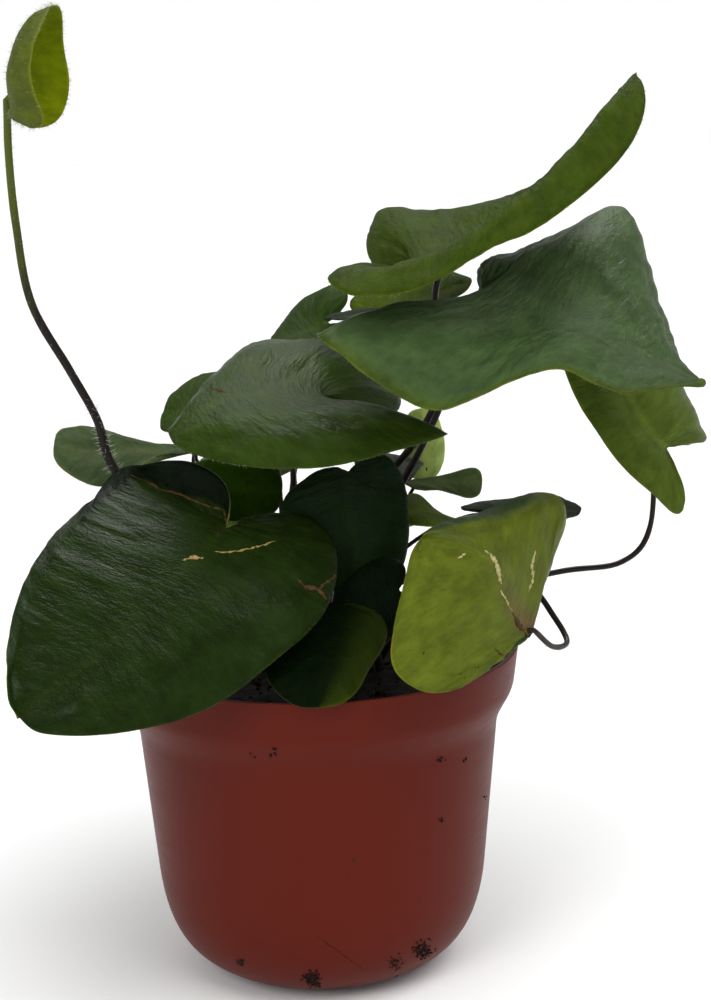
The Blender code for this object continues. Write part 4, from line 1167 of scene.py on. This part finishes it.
def pot_finish():
    """Red-brown plastic: faintly cloudy, finely scuffed round the body, dusted with specks of peat."""
    made, tree = new_finish("terracotta_plastic")
    where = on_object(tree)
    body = two_tone(tree, noise(tree, where, 30.0, 4.0), (0.078, 0.0068, 0.0018), (0.090, 0.0085, 0.0026))
    cells = shader_node(tree, "TexVoronoi", {"Vector": where, "Scale": 230.0, "Randomness": 1.0})
    size = spread(tree, noise(tree, where, 45.0, 3.0), 0.55, 0.8, 0.0, 0.16)
    speck = combined(tree, "Math", "LESS_THAN", {0: cells.outputs["Distance"], 1: size})
    scuffs = noise(tree, stretched(tree, where, (0.4, 0.4, 3.0)), 260.0, 4.0)
    colour = two_tone(tree, speck, body, (0.02, 0.009, 0.006))
    polish = spread(tree, scuffs, 0.0, 1.0, 0.34, 0.52)
    coat = {"Coat Weight": 0.10, "Coat Roughness": 0.3}
    return finished(made, colour, polish, 0.05, Normal=raised(tree, scuffs, 0.03), **coat)


# %% Build the pot
WALL, POT_STEPS, CORNER_STEPS, ROW_HEIGHT = 1.1, 160, 10, 3.0
OUTER = ((0, 0), (24.5, 0), (35.8, 10.0), (40.2, 57.3), (43.8, 63.8), (45.0, 72.9))
CREST = ((44.7, 73.0), (43.4, 72.6), (43.3, 71.4), (43.7, 70.6))
INNER = ((42.7, 64.2), (39.1, 57.8), (34.7, 10.9), (24.0, WALL), (0, WALL))
# One radius for each corner but the first and last.
POT_RADII = (9.0, 13.0, 2.4, 1.6, 0.3, 0.4, 0.4, 0.4, 0.6, 1.6, 2.4, 12.0, 8.0)
profile = rounded((*OUTER, *CREST, *INNER), POT_RADII, CORNER_STEPS)
parts = [math.ceil(length / ROW_HEIGHT) for length in step_lengths(profile)]
rows = np.vstack([np.linspace(a, b, many, endpoint=False) for a, b, many in zip(profile, profile[1:], parts)])
pot_places, pot_faces = turned_shape(np.vstack([rows, profile[-1:]]), POT_STEPS)
pot = mesh_piece("nursery_pot", pot_places, pot_faces, pot_finish(), "pot")
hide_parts("pot")
print("pot rows:", len(rows) + 1, "triangles:", len(pot_faces))

# %% Drainage holes
DRAINS, DRAIN_RING, DRAIN_RADIUS, DRAIN_HEIGHTS = 6, 15.0, 3.0, (-2.0, 0.5, 3.0)
turns = np.arange(DRAINS) * 2 * np.pi / DRAINS
plugs = [tube([(DRAIN_RING * math.cos(a), DRAIN_RING * math.sin(a), z) for z in DRAIN_HEIGHTS],
              [DRAIN_RADIUS] * 3, 32, level=(0.0, 1.0, 0.0)) for a in turns]
plug_places, plug_faces = together(plugs)
plug = new_object("drain_plugs", new_mesh("drain_plugs", plug_places * MM, plug_faces))
holes = pot.modifiers.new("drains", "BOOLEAN")
holes.operation, holes.object, holes.solver = "DIFFERENCE", plug, "EXACT"
bpy.context.view_layer.update()
drained = bpy.data.meshes.new_from_object(pot.evaluated_get(bpy.context.evaluated_depsgraph_get()))
pot.modifiers.clear()
pot.data = drained
bpy.data.objects.remove(plug)
print("pot triangles with its holes:", len(pot.data.polygons))

# %% [markdown]
# ## Peat and crown
# The peat is seen in two dark gaps only, but it carries every stalk. It is one turned shape whose top
# is raised by noise, strewn with 700 crumbs of 20 faces each. The crown is a knob of old stalk bases
# under brown scales, which are short spikes.

# %% Peat material


def peat_finish(name, dark, light):
    """Nearly black, with brown fibres and a crumbly surface."""
    made, tree = new_finish(name)
    lumps = noise(tree, on_object(tree), 500.0, 6.0, Roughness=0.7)
    colour = two_tone(tree, spread(tree, lumps, 0.45, 0.8), dark, light)
    return finished(made, colour, 0.95, 0.2, Normal=raised(tree, lumps, 0.5))


PEAT = peat_finish("peat", (0.006, 0.004, 0.003), (0.030, 0.018, 0.011))
CROWN_BARK = peat_finish("crown_bark", (0.012, 0.007, 0.004), (0.050, 0.026, 0.012))

# %% Build the peat
SOIL_TOP, SOIL_RADIUS, SOIL_RINGS, SOIL_STEPS = 66.0, 42.3, 44, 120
UNDERSIDE = ((42.4, 64.4), (38.8, 57.9), (34.2, 11.2), (23.8, 1.5), (0, 1.5))
UNDERSIDE_RADII = (2.4, 12.0, 8.0)


def peat_height(x, y):
    """Height of the peat's top: lumps of 9, 3 and 1.2 mm, level at the pot's wall."""
    lumps = sum(height * ripple(x / size, y / size, seed) for height, size, seed in (
        (0.9, 9, 901), (0.55, 3, 902), (0.3, 1.2, 903)))
    return SOIL_TOP + lumps * np.clip((SOIL_RADIUS - np.hypot(x, y)) / 4, 0, 1)


top_rows = np.column_stack([np.linspace(0, SOIL_RADIUS, SOIL_RINGS), np.full(SOIL_RINGS, SOIL_TOP)])
peat_profile = np.vstack([top_rows, rounded(UNDERSIDE, UNDERSIDE_RADII, 8)])
peat_places, peat_faces = turned_shape(peat_profile[::-1], SOIL_STEPS)
on_top = peat_places[:, 2] > SOIL_TOP - 0.1
peat_places[on_top, 2] = peat_height(*peat_places[on_top, :2].T)
peat = mesh_piece("peat_bed", peat_places, peat_faces, PEAT, "soil")
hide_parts("soil")

# %% Crumbs
CRUMBS, CRUMB_REACH = 700, 41.0
# The corners of an icosahedron, by the golden ratio g, and its faces.
g = (1 + math.sqrt(5)) / 2
CRUMB_CORNERS = np.array([
    (-1, g, 0), (1, g, 0), (-1, -g, 0), (1, -g, 0), (0, -1, g), (0, 1, g),
    (0, -1, -g), (0, 1, -g), (g, 0, -1), (g, 0, 1), (-g, 0, -1), (-g, 0, 1)]) / 1.9
CRUMB_FACES = np.array([
    (0, 11, 5), (0, 5, 1), (0, 1, 7), (0, 7, 10), (0, 10, 11), (1, 5, 9), (5, 11, 4), (11, 10, 2),
    (10, 7, 6), (7, 1, 8), (3, 9, 4), (3, 4, 2), (3, 2, 6), (3, 6, 8), (3, 8, 9), (4, 9, 5), (2, 4, 11),
    (6, 2, 10), (8, 6, 7), (9, 8, 1)])


def crumbs(centres, sizes, seed):
    """A 12-cornered lump for each centre, its corners pulled in and out at random."""
    chance = np.random.default_rng(seed)
    uneven = chance.uniform(0.6, 1.2, (len(centres), 12, 1)) * CRUMB_CORNERS
    stretch = chance.uniform(0.5, 1.3, (len(centres), 1, 3))
    places = centres[:, None] + uneven * stretch * sizes[:, None, None]
    return places.reshape(-1, 3), many_of(CRUMB_FACES, 12, len(centres))


chance = np.random.default_rng(11)
reach, angle = CRUMB_REACH * np.sqrt(chance.random(CRUMBS)), chance.uniform(0, 2 * np.pi, CRUMBS)
x, y = reach * np.cos(angle), reach * np.sin(angle)
sizes = 0.25 + 0.9 * chance.random(CRUMBS) ** 2
centres = np.column_stack([x, y, peat_height(x, y) + sizes * 0.2])
mesh_piece("peat_crumbs", *crumbs(centres, sizes, 12), PEAT, "soil")

# %% Crown and its scales
CROWN_BEHIND, CROWN_MIDDLE, CROWN_RADIUS, CROWN_HALF_HEIGHT = 2.0, 65.5, 3.1, 5.4
SCALES, SCALE_RADIUS = 220, 0.22
v = np.linspace(0, np.pi, 25)
crown_profile = np.column_stack([CROWN_RADIUS * np.sin(v), CROWN_MIDDLE - CROWN_HALF_HEIGHT * np.cos(v)])
crown_profile[[0, -1], 0] = 0
knob_places, knob_faces = turned_shape(crown_profile, 36)
knob_places[:, :2] *= (1 + 0.08 * ripple(knob_places[:, 0] * 1.2, knob_places[:, 2] * 1.2, 42))[:, None]
knob_places[:, 1] += CROWN_BEHIND
crown = mesh_piece("crown_knob", knob_places, knob_faces, CROWN_BARK, "crown")
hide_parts("crown")
scale_angle, scale_height = chance.uniform(0, 2 * np.pi, SCALES), chance.uniform(0, 1, SCALES)
out = np.column_stack([np.cos(scale_angle), np.sin(scale_angle), np.zeros(SCALES)])
rise = np.outer(4.6 * scale_height, (0, 0, 1))
roots = np.array([0, CROWN_BEHIND, SOIL_TOP]) + out * (3.0 - 2.0 * scale_height[:, None] ** 2) + rise
leaning = out * 0.5 + np.array([0, 0, 1.0]) + chance.normal(0, 0.2, (SCALES, 3))
scales = spikes(roots, leaning, chance.uniform(1.5, 3.2, SCALES), SCALE_RADIUS, 0.3, 43)
mesh_piece("crown_scales", *scales, CROWN_BARK, "crown")
print("peat, crumbs and crown are built")

# %% [markdown]
# ## Wear and dirt
# The old blades carry tan scars, a crack, and a brown line where the front blade is creased. The pot
# has flecks of peat on it, most of them at the foot. Their courses are known from where they show in
# the picture, so a ray is sent from the eye through each pixel, and where it first meets the piece
# the mark is laid on as a thin raised ribbon or a crumb. It stays there from any other side.

# %% Find a place on a piece from where it shows
WANDER, PRESSED_OUT, RIBBON_FLATNESS = 0.7, 0.02, 0.35


def faces_of(piece):
    """A search tree over a piece's faces, in mm."""
    corners = [vertex.co / MM for vertex in piece.data.vertices]
    return BVHTree.FromPolygons(corners, [tuple(face.vertices) for face in piece.data.polygons])


def seen_places(tree, pixels):
    """Where rays through picture pixels first meet the faces: (places, normals). A miss is left out."""
    hits = [tree.ray_cast(Vector(EYE), Vector(view_ray(pixel))) for pixel in pixels]
    hits = [hit for hit in hits if hit[0] is not None]
    return np.array([hit[0] for hit in hits]), np.array([hit[1] for hit in hits])


def ribbon(tree, pixels, width, seed):
    """A flat tube laid on the faces along picture pixels, thin at both ends and uneven between."""
    course = smooth_curve(pixels, 12)
    run = np.arange(len(course)) * 0.45
    wander = np.column_stack([ripple(run, run * 0, seed + 40), ripple(run, run * 0, seed + 60)])
    places, normals = seen_places(tree, course + wander * WANDER)
    share = np.linspace(0, 1, len(places))
    swell = np.sin(np.pi * share) ** 0.4 * (1 + 0.9 * ripple(share * len(pixels) * 5, share * 0, seed))
    radii = width / 2 * np.maximum(swell, 0.05)
    return tube(places + normals * PRESSED_OUT, radii, 6, RIBBON_FLATNESS, normals)


# %% Materials of the marks


def plain_finish(name, dark, light, scale):
    """Dull, between two colours in clouds of the given fineness."""
    made, tree = new_finish(name)
    return finished(made, two_tone(tree, noise(tree, on_object(tree), scale, 3.0), dark, light), 0.8, 0.1)


TAN_SCAR = plain_finish("tan_scar", (0.12, 0.08, 0.02), (0.40, 0.27, 0.11), 900.0)
STRAW_SCAR = plain_finish("straw_scar", (0.14, 0.15, 0.03), (0.55, 0.48, 0.24), 900.0)
BROWN_SCAR = plain_finish("brown_scar", (0.010, 0.006, 0.003), (0.11, 0.055, 0.024), 900.0)
SCRATCH = plain_finish("scratched_plastic", (0.035, 0.006, 0.003), (0.055, 0.008, 0.004), 300.0)
CURL_GREEN = plain_finish("curled_hem", (0.030, 0.048, 0.006), (0.060, 0.090, 0.012), 300.0)

# %% Scars and creases
# Each is a course in picture pixels and a width in mm.
FRONT_CREASE = ((
    (130, 475), (148, 482), (160, 489), (180, 495), (205, 505), (222, 510), (226, 520), (224, 530)), 0.45)
FRONT_TAN_SCARS = (
    (((182, 561), (192, 558), (203, 558)), 0.8),
    (((214, 551), (228, 552), (243, 550), (260, 546), (276, 541)), 0.45))
FRONT_CRACK = (
    (((297, 579), (306, 587), (317, 589), (327, 600)), 0.9),
    (((318, 590), (322, 586), (330, 580), (337, 574)), 0.6))
TURNED_STRAW_SCARS = (
    (((484, 551), (491, 555), (496, 563), (499, 575), (501, 584)), 1.3),
    (((535, 550), (532, 565), (533, 575), (529, 592)), 1.0),
    (((512, 612), (506, 600), (500, 590)), 0.5),
    (((466, 553), (458, 559)), 0.35))
TURNED_BROWN_SCARS = (
    (((531, 643), (523, 630), (512, 613)), 1.1),
    (((509, 657), (501, 654), (495, 648)), 0.5))
MIDDLE_SCAR = ((((211, 389), (218, 390), (225, 392)), 0.8),)

front, turned, middle = (faces_of(blades[name][0]) for name in ("front", "turned", "middle"))
mesh_piece("crease_front", *ribbon(front, *FRONT_CREASE, 1), BROWN_SCAR, "blade_front")
for name, tree, marks, finish in (
        ("scars_front", front, FRONT_TAN_SCARS, TAN_SCAR),
        ("crack_front", front, FRONT_CRACK, BROWN_SCAR),
        ("scars_turned", turned, TURNED_STRAW_SCARS, STRAW_SCAR),
        ("stains_turned", turned, TURNED_BROWN_SCARS, BROWN_SCAR),
        ("scar_middle", middle, MIDDLE_SCAR, BROWN_SCAR)):
    drawn = [ribbon(tree, course, width, 5 + index) for index, (course, width) in enumerate(marks)]
    mesh_piece(name, *together(drawn), finish, "blade_" + name.split("_")[1])
print("marks on the blades are laid")

# %% The curled tip of the right-hand blade
# The hem thickens towards the tip and ends in a knob that bends down. Radii, reaches and drops in mm.
CURL_ROWS, CURL_FROM, CURL_HEM, CURL_KNOB = 150, 122, 0.2, 0.95
CURL_BENDS = ((0.5, 0.1, 1.0), (0.9, 0.4, 0.9), (1.1, 0.9, 0.5))
rim = blade_surface("right", CURL_ROWS, 3)[CURL_FROM:, 0]
onward = unit(rim[-1] - rim[-6])
curled = [rim[-1] + onward * reach - np.array([0, 0, drop]) for reach, drop, _ in CURL_BENDS]
radii = CURL_HEM + (CURL_KNOB - CURL_HEM) * np.linspace(0, 1, len(rim)) ** 4
radii = [*radii, *(CURL_KNOB * share for _, _, share in CURL_BENDS)]
mesh_piece("curl_right", *tube([*rim, *curled], radii, 12), CURL_GREEN, "blade_right")

# %% Flecks of peat on the pot and on the turned blade, and a scratch
# Pixels of each patch, then how many flecks, how far they are strewn in pixels, and their size in mm.
POT_FLECKS = (
    ((275, 751), 5, 2.5, 0.45), ((253, 756), 3, 1.5, 0.35), ((440, 757), 6, 2.5, 0.5),
    ((465, 760), 4, 1.5, 0.4), ((441, 819), 5, 2.0, 0.4), ((486, 797), 3, 1.5, 0.4),
    ((241, 962), 40, 2.0, 0.3), ((312, 980), 150, 4.5, 0.35), ((422, 950), 130, 4.5, 0.35),
    ((395, 963), 60, 4.0, 0.3), ((330, 900), 30, 90.0, 0.15))
BLADE_FLECKS = (((463, 676), 4, 1.5, 0.25), ((475, 666), 3, 1.5, 0.2), ((425, 655), 3, 1.5, 0.2))
POT_SCRATCH = (((316, 935), (340, 953), (365, 970)), 0.16)


def flecks(tree, patches, seed):
    """Crumbs strewn about some pixels and pressed a little into the faces they fall on."""
    chance = np.random.default_rng(seed)
    pixels = [pixel + chance.normal(0, strewn, 2) for pixel, many, strewn, _ in patches for _ in range(many)]
    hits = [seen_places(tree, [pixel])[0] for pixel in pixels]
    sizes = np.array([size for _, many, _, size in patches for _ in range(many)])
    kept = np.array([len(places) > 0 for places in hits])
    places = np.vstack([place for place in hits if len(place)])
    return crumbs(places, sizes[kept] * chance.uniform(0.4, 1.1, kept.sum()), seed)


pot_skin = faces_of(pot)
mesh_piece("flecks_pot", *flecks(pot_skin, POT_FLECKS, 21), PEAT, "pot")
mesh_piece("flecks_turned", *flecks(turned, BLADE_FLECKS, 22), PEAT, "blade_turned")
mesh_piece("scratch_pot", *ribbon(pot_skin, *POT_SCRATCH, 9), SCRATCH, "pot")
print("flecks and scratch are on the pot")
